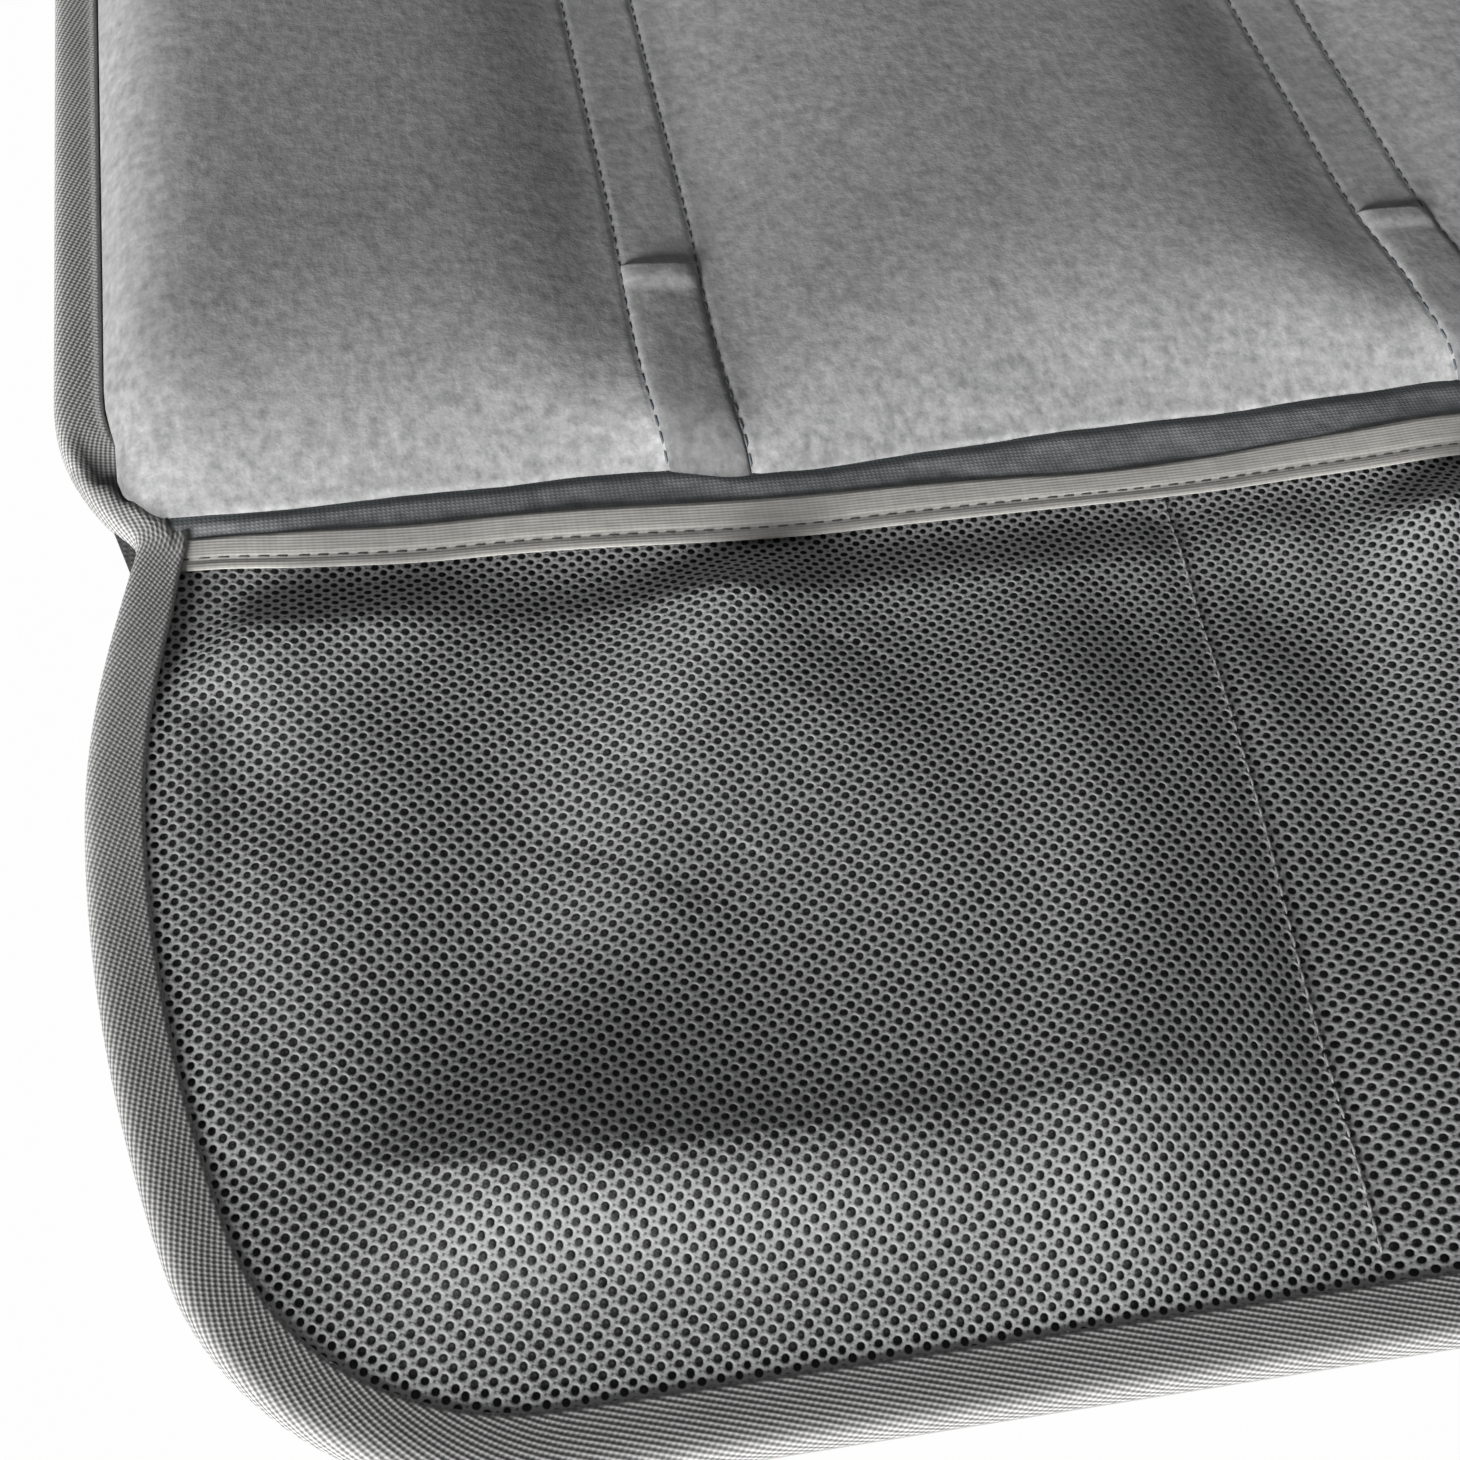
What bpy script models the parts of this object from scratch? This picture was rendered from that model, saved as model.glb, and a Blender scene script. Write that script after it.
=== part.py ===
"""Car seat protector mat: a padded seat panel and a padded backrest panel joined
by a sewn fold, with a front flap that carries a netting pocket.

Metres, +Z up. The mat lies flat on z = 0. Its width runs along X and its length
along Y, with the flap towards -Y. The origin is on the floor under the middle.
"""

import math

import bmesh
import bpy

# Outline, seen from above
MAT_WIDTH = 0.480
SEAT_LENGTH = 0.470  # from the line of the two side notches to the fold
BACK_LENGTH = 0.560
FLAP_DEPTH = 0.150
NOTCH_INSET = 0.0125
SEAT_CORNER_RADIUS = 0.045
BACK_CORNER_RADIUS = 0.060
FLAP_BULGE = 0.0083  # how far the flap's side swells out past the notch
FLAP_BULGE_AT = 0.052  # how far below the notch it is widest
FLAP_SIDE_RADIUS = 0.250
FLAP_CORNER_RADIUS = 0.045
ARC_STEPS = 6  # straight pieces in each arc of the outline

# Cloth thicknesses, from the floor up
CLEARANCE = 0.0003  # between pieces that lie on each other
BINDING_THICKNESS = 0.0009
BACKING_THICKNESS = 0.0010
BASE_THICKNESS = 0.0008
FACE_THICKNESS = 0.0008
NET_THICKNESS = 0.0008
RIBBON_THICKNESS = 0.0010
TAPE_THICKNESS = 0.0008
STRAP_THICKNESS = 0.0009
GRIP_THICKNESS = 0.0009

# Edge binding
BINDING_WIDTH = 0.0095  # how far it laps over the mat
BINDING_EDGE_ROUND = 0.0012
LAYER_INSET = 0.0016  # from the mat's outline to the layers inside the binding

# Padded blocks and the channels between them
PAD_RISE = 0.0080
PAD_ROLL = 0.0072  # radius of a block's rounded upper edge
MOST_ROLL_SHARE = 0.9  # of a block's height, so that its side keeps a wall
PAD_ROLL_STEPS = 3
PAD_CORNER_RADIUS = 0.0130
PAD_FRONT_CORNER_RADIUS = 0.0250
PAD_CORNER_STEPS = 3
CHANNEL_WIDTH = 0.0130
CHANNEL_PITCH = 0.1380
CHANNELS = 3

# Front edge of the seat panel, and the fold between the panels
SEAT_FRONT = 0.0080  # from the notch line to the seat panel's front seam
HEM_FRONT = 0.0010  # from the notch line to the hem strip's front edge
FOLD_WIDTH = 0.0140
TAPE_END = 0.0610  # from the notch line to the folded end of a channel's tape
TAPE_SIDE_MARGIN = 0.0006
TAPE_FOLD_LENGTH = 0.0040

# Netting pocket
NET_TOP = -0.0030  # from the notch line to the netting's upper edge
NET_BILLOW = 0.0046  # how far the netting stands above its sewn edges
BILLOW_LEAD = 0.0025  # flat netting beside the binding
BILLOW_RUN = 0.0180  # length of the slope up to the full billow
SEAM_RUN = 0.0180
DIVIDER_TOP = 0.0680  # each divider seam's distance from the middle at the mouth
DIVIDER_BOTTOM = 0.0835
COMPARTMENTS = 3
GAP_COLUMNS = 8  # gaps across one compartment
GAP_ROWS = 5
GAP_WIDTH_SHARE = 0.40  # of a gap's pitch across the flap that is open
GAP_LENGTH_SHARE = 0.32

# Soft folds of the netting: start and end from the left notch, height, half width
FOLDS = (
    ((0.106, -0.014), (0.070, -0.061), 0.0030, 0.0090),
    ((0.026, -0.104), (0.056, -0.040), 0.0016, 0.0150),
    ((0.094, -0.074), (0.122, -0.112), 0.0020, 0.0140),
    ((0.186, -0.016), (0.204, -0.080), 0.0028, 0.0130),
)

# Ribbon along the pocket's mouth
RIBBON_WIDTH = 0.0072
RIBBON_FRONT = -0.0092  # from the notch line to the ribbon's front edge
RIBBON_LIFT = 0.0004

# Elastic strap under the backrest
STRAP_WIDTH = 0.0400
STRAP_FROM_TOP = 0.1200

NOTCH_Y = (FLAP_DEPTH - SEAT_LENGTH - BACK_LENGTH) / 2
FOLD_Y = NOTCH_Y + SEAT_LENGTH
TOP_Y = FOLD_Y + BACK_LENGTH
BOTTOM_Y = NOTCH_Y - FLAP_DEPTH
HALF_WIDTH = MAT_WIDTH / 2
NOTCH_X = HALF_WIDTH - NOTCH_INSET

BACKING_Z = BINDING_THICKNESS + CLEARANCE
BASE_Z = BACKING_Z + BACKING_THICKNESS + CLEARANCE
FACE_Z = BASE_Z + BASE_THICKNESS + CLEARANCE
TOP_LAYER = max(FACE_THICKNESS, NET_THICKNESS)
BINDING_HEIGHT = FACE_Z + TOP_LAYER + CLEARANCE + BINDING_THICKNESS
BLOCK_INSET = BINDING_WIDTH + CLEARANCE

# Colours are linear
CHARCOAL_FACE = (0.235, 0.235, 0.240, 1.0)
DARK_HEM = (0.085, 0.087, 0.090, 1.0)
TAPE_GREY = (0.150, 0.150, 0.152, 1.0)
BINDING_GREY = (0.125, 0.123, 0.118, 1.0)
RIBBON_GREY = (0.330, 0.320, 0.300, 1.0)
NET_GREY = (0.150, 0.150, 0.148, 1.0)
LINING_BLACK = (0.018, 0.018, 0.020, 1.0)
BACKING_BLACK = (0.030, 0.030, 0.032, 1.0)
GRIP_BLACK = (0.022, 0.022, 0.024, 1.0)
FELT_GREY = (0.300, 0.300, 0.295, 1.0)
FOAM_GREY = (0.420, 0.420, 0.410, 1.0)
STRAP_BLACK = (0.040, 0.040, 0.042, 1.0)


def clear_scene():
    for obj in list(bpy.data.objects):
        bpy.data.objects.remove(obj, do_unlink=True)


def new_collection(name):
    collection = bpy.data.collections.new(name)
    bpy.context.scene.collection.children.link(collection)
    return collection


def material(name, colour, roughness):
    mat = bpy.data.materials.new(name)
    mat.use_nodes = True
    shader = mat.node_tree.nodes["Principled BSDF"]
    shader.inputs["Base Color"].default_value = colour
    shader.inputs["Roughness"].default_value = roughness
    shader.inputs["Metallic"].default_value = 0.0
    mat.diffuse_color = colour
    return mat


# Outline helpers


def arc(centre, radius, start, end):
    """Points along an arc, angles in radians, both ends included."""
    points = []
    for step in range(ARC_STEPS + 1):
        angle = start + (end - start) * step / ARC_STEPS
        x = centre[0] + radius * math.cos(angle)
        y = centre[1] + radius * math.sin(angle)
        points.append((x, y))
    return points


def back_corner():
    centre = (-HALF_WIDTH + BACK_CORNER_RADIUS, TOP_Y - BACK_CORNER_RADIUS)
    return arc(centre, BACK_CORNER_RADIUS, math.pi / 2, math.pi)


def seat_corner():
    """The seat panel's rounded front corner, which ends in the notch."""
    turn = math.acos(1 - NOTCH_INSET / SEAT_CORNER_RADIUS)
    rise = SEAT_CORNER_RADIUS * math.sin(turn)
    centre = (-HALF_WIDTH + SEAT_CORNER_RADIUS, NOTCH_Y + rise)
    return arc(centre, SEAT_CORNER_RADIUS, math.pi, math.pi + turn)


def flap_side():
    """The flap's left edge, from just under the notch to its bottom edge."""
    points = []
    for step in range(1, ARC_STEPS):
        share = step / ARC_STEPS
        swell = FLAP_BULGE * math.sin(share * math.pi / 2)
        points.append((-NOTCH_X - swell, NOTCH_Y - FLAP_BULGE_AT * share))
    radius_step = FLAP_SIDE_RADIUS - FLAP_CORNER_RADIUS
    fall = FLAP_DEPTH - FLAP_BULGE_AT - FLAP_CORNER_RADIUS
    turn = math.asin(fall / radius_step)
    side_centre = (
        -NOTCH_X - FLAP_BULGE + FLAP_SIDE_RADIUS,
        NOTCH_Y - FLAP_BULGE_AT,
    )
    corner_centre = (
        side_centre[0] - radius_step * math.cos(turn),
        side_centre[1] - radius_step * math.sin(turn),
    )
    points += arc(side_centre, FLAP_SIDE_RADIUS, math.pi, math.pi + turn)
    corner = arc(corner_centre, FLAP_CORNER_RADIUS, math.pi + turn, math.pi * 1.5)
    return points + corner[1:]


def mirrored(points):
    return [(-x, y) for x, y in reversed(points)]


def mat_outline():
    """The whole mat's outline, counter-clockwise from the upper left corner."""
    left = back_corner() + seat_corner() + flap_side()
    return left + mirrored(left)


def flap_edge():
    """The part of the outline that the pocket is sewn to, notch to notch."""
    left = [(-NOTCH_X, NOTCH_Y)] + flap_side()
    return left + mirrored(left)


def inset(points, distance):
    """The closed outline moved inwards by an even distance."""
    moved = []
    count = len(points)
    for index, (x, y) in enumerate(points):
        before = points[index - 1]
        after = points[(index + 1) % count]
        first = edge_normal(before, (x, y))
        second = edge_normal((x, y), after)
        nx = first[0] + second[0]
        ny = first[1] + second[1]
        reach = 2 * distance / (nx * nx + ny * ny)
        moved.append((x + nx * reach, y + ny * reach))
    return moved


def edge_normal(start, end):
    """Unit normal on the left of the way from start to end."""
    dx = end[0] - start[0]
    dy = end[1] - start[1]
    length = math.hypot(dx, dy)
    return (-dy / length, dx / length)


def keep_side(points, level, above):
    """The closed outline's part above, or below, a line of constant y."""
    sign = 1 if above else -1
    kept = []
    for index, point in enumerate(points):
        before = points[index - 1]
        here = (point[1] - level) * sign
        there = (before[1] - level) * sign
        if here * there < 0:
            share = there / (there - here)
            x = before[0] + (point[0] - before[0]) * share
            kept.append((x, level))
        if here >= 0:
            kept.append(point)
    return kept


def band(low, high):
    """The outline inside the binding, between two lines of constant y."""
    points = keep_side(inset(mat_outline(), LAYER_INSET), low, True)
    return keep_side(points, high, False)


# Modelling helpers


def add_mesh(name, bm, collection, mat):
    mesh = bpy.data.meshes.new(name)
    bm.to_mesh(mesh)
    bm.free()
    mesh.materials.append(mat)
    obj = bpy.data.objects.new(name, mesh)
    collection.objects.link(obj)
    return obj


def sheet(name, points, bottom, thickness, collection, mat):
    """A flat sheet of cloth: a filled outline with a thickness."""
    curve = bpy.data.curves.new(name, "CURVE")
    curve.dimensions = "2D"
    curve.fill_mode = "BOTH"
    curve.extrude = thickness / 2
    spline = curve.splines.new("POLY")
    spline.points.add(len(points) - 1)
    for control, (x, y) in zip(spline.points, points):
        control.co = (x, y, 0.0, 1.0)
    spline.use_cyclic_u = True
    curve.materials.append(mat)
    obj = bpy.data.objects.new(name, curve)
    obj.location.z = bottom + thickness / 2
    collection.objects.link(obj)
    return obj


def curve_to_mesh(obj, collection):
    """A mesh object in the curve's place, with its caps welded on."""
    bpy.context.view_layer.update()
    graph = bpy.context.evaluated_depsgraph_get()
    mesh = bpy.data.meshes.new_from_object(obj.evaluated_get(graph))
    bm = bmesh.new()
    bm.from_mesh(mesh)
    bmesh.ops.remove_doubles(bm, verts=bm.verts, dist=0.00001)
    bmesh.ops.recalc_face_normals(bm, faces=bm.faces)
    bm.to_mesh(mesh)
    bm.free()
    name = obj.name
    place = obj.matrix_world.copy()
    bpy.data.objects.remove(obj, do_unlink=True)
    made = bpy.data.objects.new(name, mesh)
    made.matrix_world = place
    collection.objects.link(made)
    return made


def strip(name, box, collection, mat):
    """A straight strip: box is (low x, high x, low y, high y, bottom, height)."""
    left, right, front, rear, bottom, height = box
    bm = bmesh.new()
    bmesh.ops.create_cube(bm, size=1.0)
    bmesh.ops.scale(bm, vec=(right - left, rear - front, height), verts=bm.verts)
    middle = ((left + right) / 2, (front + rear) / 2, bottom + height / 2)
    bmesh.ops.translate(bm, vec=middle, verts=bm.verts)
    return add_mesh(name, bm, collection, mat)


def block(name, box, corners, roll, collection, mat):
    """A box with rounded upright corners and a rolled upper edge.

    corners maps (sign of x, sign of y) to that corner's radius.
    """
    obj = strip(name, box, collection, mat)
    left, right, front, rear, bottom, height = box
    middle_x = (left + right) / 2
    middle_y = (front + rear) / 2
    top = bottom + height
    bm = bmesh.new()
    bm.from_mesh(obj.data)
    for (side, end), radius in corners.items():
        edges = []
        for edge in bm.edges:
            start, stop = edge.verts
            upright = abs(start.co.z - stop.co.z) > height / 2
            same_side = (start.co.x - middle_x) * side > 0
            same_end = (start.co.y - middle_y) * end > 0
            sharp = edge.calc_face_angle() > math.pi / 4
            if upright and same_side and same_end and sharp:
                edges.append(edge)
        bmesh.ops.bevel(
            bm,
            geom=edges,
            offset=radius,
            segments=PAD_CORNER_STEPS,
            profile=0.5,
            affect="EDGES",
        )
    rim = []
    for edge in bm.edges:
        on_top = all(abs(vert.co.z - top) < CLEARANCE / 10 for vert in edge.verts)
        if on_top and edge.calc_face_angle() > math.pi / 4:
            rim.append(edge)
    bmesh.ops.bevel(
        bm,
        geom=rim,
        offset=roll,
        segments=PAD_ROLL_STEPS,
        profile=0.5,
        affect="EDGES",
    )
    bm.to_mesh(obj.data)
    bm.free()
    obj.data.shade_smooth()
    return obj


def boolean(obj, other, operation):
    modifier = obj.modifiers.new(operation.lower(), "BOOLEAN")
    modifier.object = other
    modifier.operation = operation
    modifier.solver = "EXACT"


def hide_cutter(obj):
    obj.hide_render = True
    obj.display_type = "WIRE"


# Padded panels


def channel_centres():
    middle = (CHANNELS - 1) / 2
    return [(number - middle) * CHANNEL_PITCH for number in range(CHANNELS)]


def block_spans():
    """Low and high x of each padded block, from left to right."""
    edges = [-HALF_WIDTH + BLOCK_INSET]
    for centre in channel_centres():
        edges.append(centre - CHANNEL_WIDTH / 2)
        edges.append(centre + CHANNEL_WIDTH / 2)
    edges.append(HALF_WIDTH - BLOCK_INSET)
    return list(zip(edges[0::2], edges[1::2]))


def block_corners(number, spans, front_radius, rear_radius):
    """Corner radii of one block: only the outer blocks have the panel's own.

    A large radius stops short of the other corner on its side.
    """
    left, right = spans[number]
    room = right - left - PAD_CORNER_RADIUS - CLEARANCE
    last = len(spans) - 1
    corners = {}
    for side in (-1, 1):
        outer = (number == 0 and side < 0) or (number == last and side > 0)
        front = min(front_radius, room) if outer else PAD_CORNER_RADIUS
        rear = min(rear_radius, room) if outer else PAD_CORNER_RADIUS
        corners[(side, -1)] = front
        corners[(side, 1)] = rear
    return corners


def grown_block(name, span, ends, corners, growth, bottom, collection, mat):
    """One block, made smaller by growth on each side and on top."""
    left, right = span
    front, rear = ends
    top = FACE_Z + FACE_THICKNESS + PAD_RISE - growth
    box = (
        left + growth,
        right - growth,
        front + growth,
        rear - growth,
        bottom,
        top - bottom,
    )
    radii = {corner: radius - growth for corner, radius in corners.items()}
    roll = min(PAD_ROLL - growth, MOST_ROLL_SHARE * (top - bottom))
    return block(name, box, radii, roll, collection, mat)


def padded_panel(prefix, face_ends, block_ends, outer_radii, parts, cutters, mats):
    """A face cloth raised over foam blocks, and the blocks under it."""
    flat = sheet(
        prefix + "_face", band(*face_ends), FACE_Z, FACE_THICKNESS, parts, mats["face"]
    )
    face = curve_to_mesh(flat, parts)
    spans = block_spans()
    hollow = FACE_THICKNESS
    foam = FACE_THICKNESS + CLEARANCE
    for number, span in enumerate(spans):
        corners = block_corners(number, spans, *outer_radii)
        label = f"{prefix}_{number + 1}"
        outer = grown_block(
            label + "_raised",
            span,
            block_ends,
            corners,
            0.0,
            FACE_Z + FACE_THICKNESS / 2,
            cutters,
            mats["face"],
        )
        boolean(face, outer, "UNION")
        hide_cutter(outer)
        grown_block(
            f"{prefix}_foam_{number + 1}",
            span,
            block_ends,
            corners,
            foam,
            FACE_Z,
            parts,
            mats["foam"],
        )
    for number, span in enumerate(spans):
        corners = block_corners(number, spans, *outer_radii)
        inner = grown_block(
            f"{prefix}_{number + 1}_hollow",
            span,
            block_ends,
            corners,
            hollow,
            FACE_Z - CLEARANCE,
            cutters,
            mats["face"],
        )
        boolean(face, inner, "DIFFERENCE")
        hide_cutter(inner)
    return face


def seat_panel(parts, cutters, mats):
    front = NOTCH_Y + SEAT_FRONT
    rear = FOLD_Y - FOLD_WIDTH / 2 - CLEARANCE
    radii = (PAD_FRONT_CORNER_RADIUS, PAD_CORNER_RADIUS)
    ends = (front + CLEARANCE, rear - CLEARANCE)
    padded_panel("seat", (front, rear), ends, radii, parts, cutters, mats)


def back_panel(parts, cutters, mats):
    front = FOLD_Y + FOLD_WIDTH / 2 + CLEARANCE
    radii = (PAD_CORNER_RADIUS, BACK_CORNER_RADIUS - BLOCK_INSET)
    ends = (front + CLEARANCE, TOP_Y - BLOCK_INSET)
    padded_panel("back", (front, TOP_Y), ends, radii, parts, cutters, mats)


def channel_tapes(parts, mat):
    """A tape sewn into each channel of the seat, its rear end folded double."""
    bottom = FACE_Z + FACE_THICKNESS + CLEARANCE
    top = bottom + TAPE_THICKNESS
    front = NOTCH_Y + SEAT_FRONT
    rear = NOTCH_Y + TAPE_END
    crease = rear - TAPE_FOLD_LENGTH
    doubled = top + TAPE_THICKNESS
    profile = (
        (front, bottom),
        (rear, bottom),
        (rear, doubled),
        (crease, doubled),
        (crease, top),
        (front, top),
    )
    width = CHANNEL_WIDTH - 2 * TAPE_SIDE_MARGIN
    for number, centre in enumerate(channel_centres()):
        tape = sheet(f"channel_tape_{number + 1}", profile, 0.0, width, parts, mat)
        tape.rotation_euler = (math.pi / 2, 0.0, math.pi / 2)
        tape.location = (centre, 0.0, 0.0)


# Netting pocket


def smooth(share):
    """Eases from 0 to 1 as share goes from 0 to 1."""
    share = min(max(share, 0.0), 1.0)
    return share * share * (3 - 2 * share)


def distance_to_segment(x, y, start, end):
    dx = end[0] - start[0]
    dy = end[1] - start[1]
    share = ((x - start[0]) * dx + (y - start[1]) * dy) / (dx * dx + dy * dy)
    share = min(max(share, 0.0), 1.0)
    return math.hypot(x - start[0] - dx * share, y - start[1] - dy * share)


def divider_x(y):
    """Distance of a divider seam from the middle at this y."""
    share = (NOTCH_Y - y) / FLAP_DEPTH
    return DIVIDER_TOP + (DIVIDER_BOTTOM - DIVIDER_TOP) * share


def fold_height(x, y):
    height = 0.0
    for start, end, rise, half_width in FOLDS:
        a = (start[0] - NOTCH_X, start[1] + NOTCH_Y)
        b = (end[0] - NOTCH_X, end[1] + NOTCH_Y)
        for side in (-1, 1):
            far = distance_to_segment(x * side, y, a, b) / half_width
            height = max(height, rise * math.exp(-far * far))
    return height


def net_rise(x, y, edge):
    """How far the netting stands above its sewn edge at this point."""
    distances = [distance_to_segment(x, y, a, b) for a, b in zip(edge, edge[1:])]
    from_edge = min(distances) - BINDING_WIDTH - BILLOW_LEAD
    from_seam = abs(abs(x) - divider_x(y))
    near_edge = smooth(from_edge / BILLOW_RUN)
    near_seam = smooth(from_seam / SEAM_RUN)
    return (NET_BILLOW + fold_height(x, y)) * near_edge * near_seam


def side_x(edge, y):
    """Distance of the netting's side from the middle at this y."""
    left = [point for point in edge if point[0] < 0]
    for high, low in zip(left, left[1:]):
        if low[1] <= y <= high[1]:
            share = (high[1] - y) / (high[1] - low[1])
            return -(high[0] + (low[0] - high[0]) * share)
    return -left[-1][0] if y < left[-1][1] else -left[0][0]


def gap_lines(count, open_share):
    """Places, from 0 to 1, of the lines that bound a row of gaps."""
    lines = []
    for number in range(count):
        middle = (number + 0.5) / count
        lines.append(middle - open_share / 2 / count)
        lines.append(middle + open_share / 2 / count)
    return lines


def net_columns(y, edge):
    """The x of every lengthwise line of the netting at this y."""
    side = side_x(edge, y)
    margin = (BINDING_WIDTH + BILLOW_LEAD) * min(1.0, side / NOTCH_X)
    seam = min(divider_x(y), side - 2 * margin)
    bounds = (
        (-side + margin, -seam),
        (-seam, seam),
        (seam, side - margin),
    )
    columns = [-side]
    for low, high in bounds:
        columns.append(low)
        for share in gap_lines(GAP_COLUMNS, GAP_WIDTH_SHARE):
            columns.append(low + (high - low) * share)
    columns.append(bounds[-1][1])
    columns.append(side)
    return columns


def net_rows():
    top = NOTCH_Y + NET_TOP
    below_ribbon = NOTCH_Y + RIBBON_FRONT
    bottom = BOTTOM_Y + LAYER_INSET
    low = BOTTOM_Y + BINDING_WIDTH + BILLOW_LEAD
    rows = [top, below_ribbon]
    for share in gap_lines(GAP_ROWS, GAP_LENGTH_SHARE):
        rows.append(below_ribbon + (low - below_ribbon) * share)
    return rows + [low, bottom]


def is_gap(column, row):
    """Whether the cell right of this column and below this row is open."""
    per_compartment = 2 * GAP_COLUMNS + 1
    if column < 1 or column > COMPARTMENTS * per_compartment:
        return False
    within = (column - 1) % per_compartment
    across = within % 2 == 1
    along = row >= 2 and row < 2 + 2 * GAP_ROWS and (row - 2) % 2 == 0
    return across and along


def mesh_pocket(parts, mat):
    """Netting over the flap: folded, open in rows of gaps, free at its mouth."""
    edge = inset_open(flap_edge(), LAYER_INSET)
    true_edge = flap_edge()
    rows = net_rows()
    bm = bmesh.new()
    columns = len(net_columns(rows[0], edge))
    bmesh.ops.create_grid(
        bm, x_segments=columns - 1, y_segments=len(rows) - 1, size=0.5
    )
    grid = {}
    for vert in bm.verts:
        column = round((vert.co.x + 0.5) * (columns - 1))
        row = round((0.5 - vert.co.y) * (len(rows) - 1))
        grid[(column, row)] = vert
    open_cells = []
    for face in bm.faces:
        middle = face.calc_center_median()
        column = math.floor((middle.x + 0.5) * (columns - 1))
        row = math.floor((0.5 - middle.y) * (len(rows) - 1))
        if is_gap(column, row):
            open_cells.append(face)
    for (column, row), vert in grid.items():
        y = rows[row]
        x = net_columns(y, edge)[column]
        vert.co = (x, y, FACE_Z + NET_THICKNESS / 2 + net_rise(x, y, true_edge))
    bmesh.ops.delete(bm, geom=open_cells, context="FACES")
    bmesh.ops.recalc_face_normals(bm, faces=bm.faces)
    obj = add_mesh("mesh_pocket", bm, parts, mat)
    thicken(obj, NET_THICKNESS, 0.0)
    return obj


def inset_open(points, distance):
    """The flap's edge moved inwards, its two ends along the notch line."""
    closed = inset(points, distance)
    closed[0] = (points[0][0] + distance, points[0][1])
    closed[-1] = (points[-1][0] - distance, points[-1][1])
    return closed


def thicken(obj, thickness, offset):
    modifier = obj.modifiers.new("cloth", "SOLIDIFY")
    modifier.thickness = thickness
    modifier.offset = offset
    modifier.use_even_offset = True


def pocket_ribbon(parts, mat):
    """The ribbon sewn on the netting's upper edge, bowed up at each mouth."""
    edge = inset_open(flap_edge(), LAYER_INSET)
    true_edge = flap_edge()
    front = NOTCH_Y + RIBBON_FRONT
    rows = (front, front + RIBBON_WIDTH)
    limit = side_x(true_edge, front) - BINDING_WIDTH - FLAP_BULGE / 2
    columns = [x for x in net_columns(front, edge) if abs(x) < limit]
    columns = [-limit] + columns + [limit]
    bm = bmesh.new()
    bmesh.ops.create_grid(bm, x_segments=len(columns) - 1, y_segments=1, size=0.5)
    lift = FACE_Z + NET_THICKNESS + RIBBON_LIFT + RIBBON_THICKNESS / 2
    for vert in bm.verts:
        column = round((vert.co.x + 0.5) * (len(columns) - 1))
        y = rows[1] if vert.co.y > 0 else rows[0]
        x = columns[column]
        rise = net_rise(x, front, true_edge)
        vert.co = (x, y, lift + rise)
    obj = add_mesh("pocket_ribbon", bm, parts, mat)
    thicken(obj, RIBBON_THICKNESS, 0.0)
    return obj


# Edge binding


def edge_binding(parts, mat):
    """Woven tape folded round the whole edge, as a U-shaped section."""
    outline = mat_outline()
    section = (
        (BINDING_WIDTH, 0.0),
        (BINDING_EDGE_ROUND, 0.0),
        (0.0, BINDING_EDGE_ROUND),
        (0.0, BINDING_HEIGHT - BINDING_EDGE_ROUND),
        (BINDING_EDGE_ROUND, BINDING_HEIGHT),
        (BINDING_WIDTH, BINDING_HEIGHT),
    )
    bm = bmesh.new()
    rings = []
    for distance, z in section:
        ring = [bm.verts.new((x, y, z)) for x, y in inset(outline, distance)]
        rings.append(ring)
    count = len(outline)
    for low, high in zip(rings, rings[1:]):
        for index in range(count):
            after = (index + 1) % count
            bm.faces.new((low[index], low[after], high[after], high[index]))
    obj = add_mesh("edge_binding", bm, parts, mat)
    thicken(obj, BINDING_THICKNESS, -1.0)
    return obj


def back_strap(parts, mat):
    """Elastic band under the backrest, sewn in at both side bindings."""
    half = HALF_WIDTH - BLOCK_INSET
    rear = TOP_Y - STRAP_FROM_TOP
    bottom = BACKING_Z - CLEARANCE - STRAP_THICKNESS
    box = (-half, half, rear - STRAP_WIDTH, rear, bottom, STRAP_THICKNESS)
    strip("back_strap", box, parts, mat)


def seat_grip_sheet(parts, mat):
    """The grippy sheet under the seat, level with the binding's underside."""
    points = keep_side(inset(mat_outline(), BLOCK_INSET), NOTCH_Y + SEAT_FRONT, True)
    points = keep_side(points, FOLD_Y - FOLD_WIDTH / 2, False)
    bottom = BACKING_Z - CLEARANCE - GRIP_THICKNESS
    sheet("seat_grip_sheet", points, bottom, GRIP_THICKNESS, parts, mat)


def flat_layers(parts, mats):
    """The sheets that lie flat inside the binding."""
    whole = inset(mat_outline(), LAYER_INSET)
    seam = NOTCH_Y + SEAT_FRONT
    half_gap = CLEARANCE / 2
    sheet("backing_cloth", whole, BACKING_Z, BACKING_THICKNESS, parts, mats["backing"])
    lining = band(BOTTOM_Y, seam - half_gap)
    sheet("flap_lining", lining, BASE_Z, BASE_THICKNESS, parts, mats["lining"])
    seat = band(seam + half_gap, FOLD_Y - half_gap)
    sheet("seat_base_felt", seat, BASE_Z, BASE_THICKNESS, parts, mats["felt"])
    back = band(FOLD_Y + half_gap, TOP_Y)
    sheet("back_base_felt", back, BASE_Z, BASE_THICKNESS, parts, mats["felt"])
    hem = band(NOTCH_Y + HEM_FRONT, seam - CLEARANCE)
    sheet("front_hem_strip", hem, FACE_Z, FACE_THICKNESS, parts, mats["hem"])
    fold = band(FOLD_Y - FOLD_WIDTH / 2, FOLD_Y + FOLD_WIDTH / 2)
    sheet("fold_strip", fold, FACE_Z, FACE_THICKNESS, parts, mats["hem"])


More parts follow.
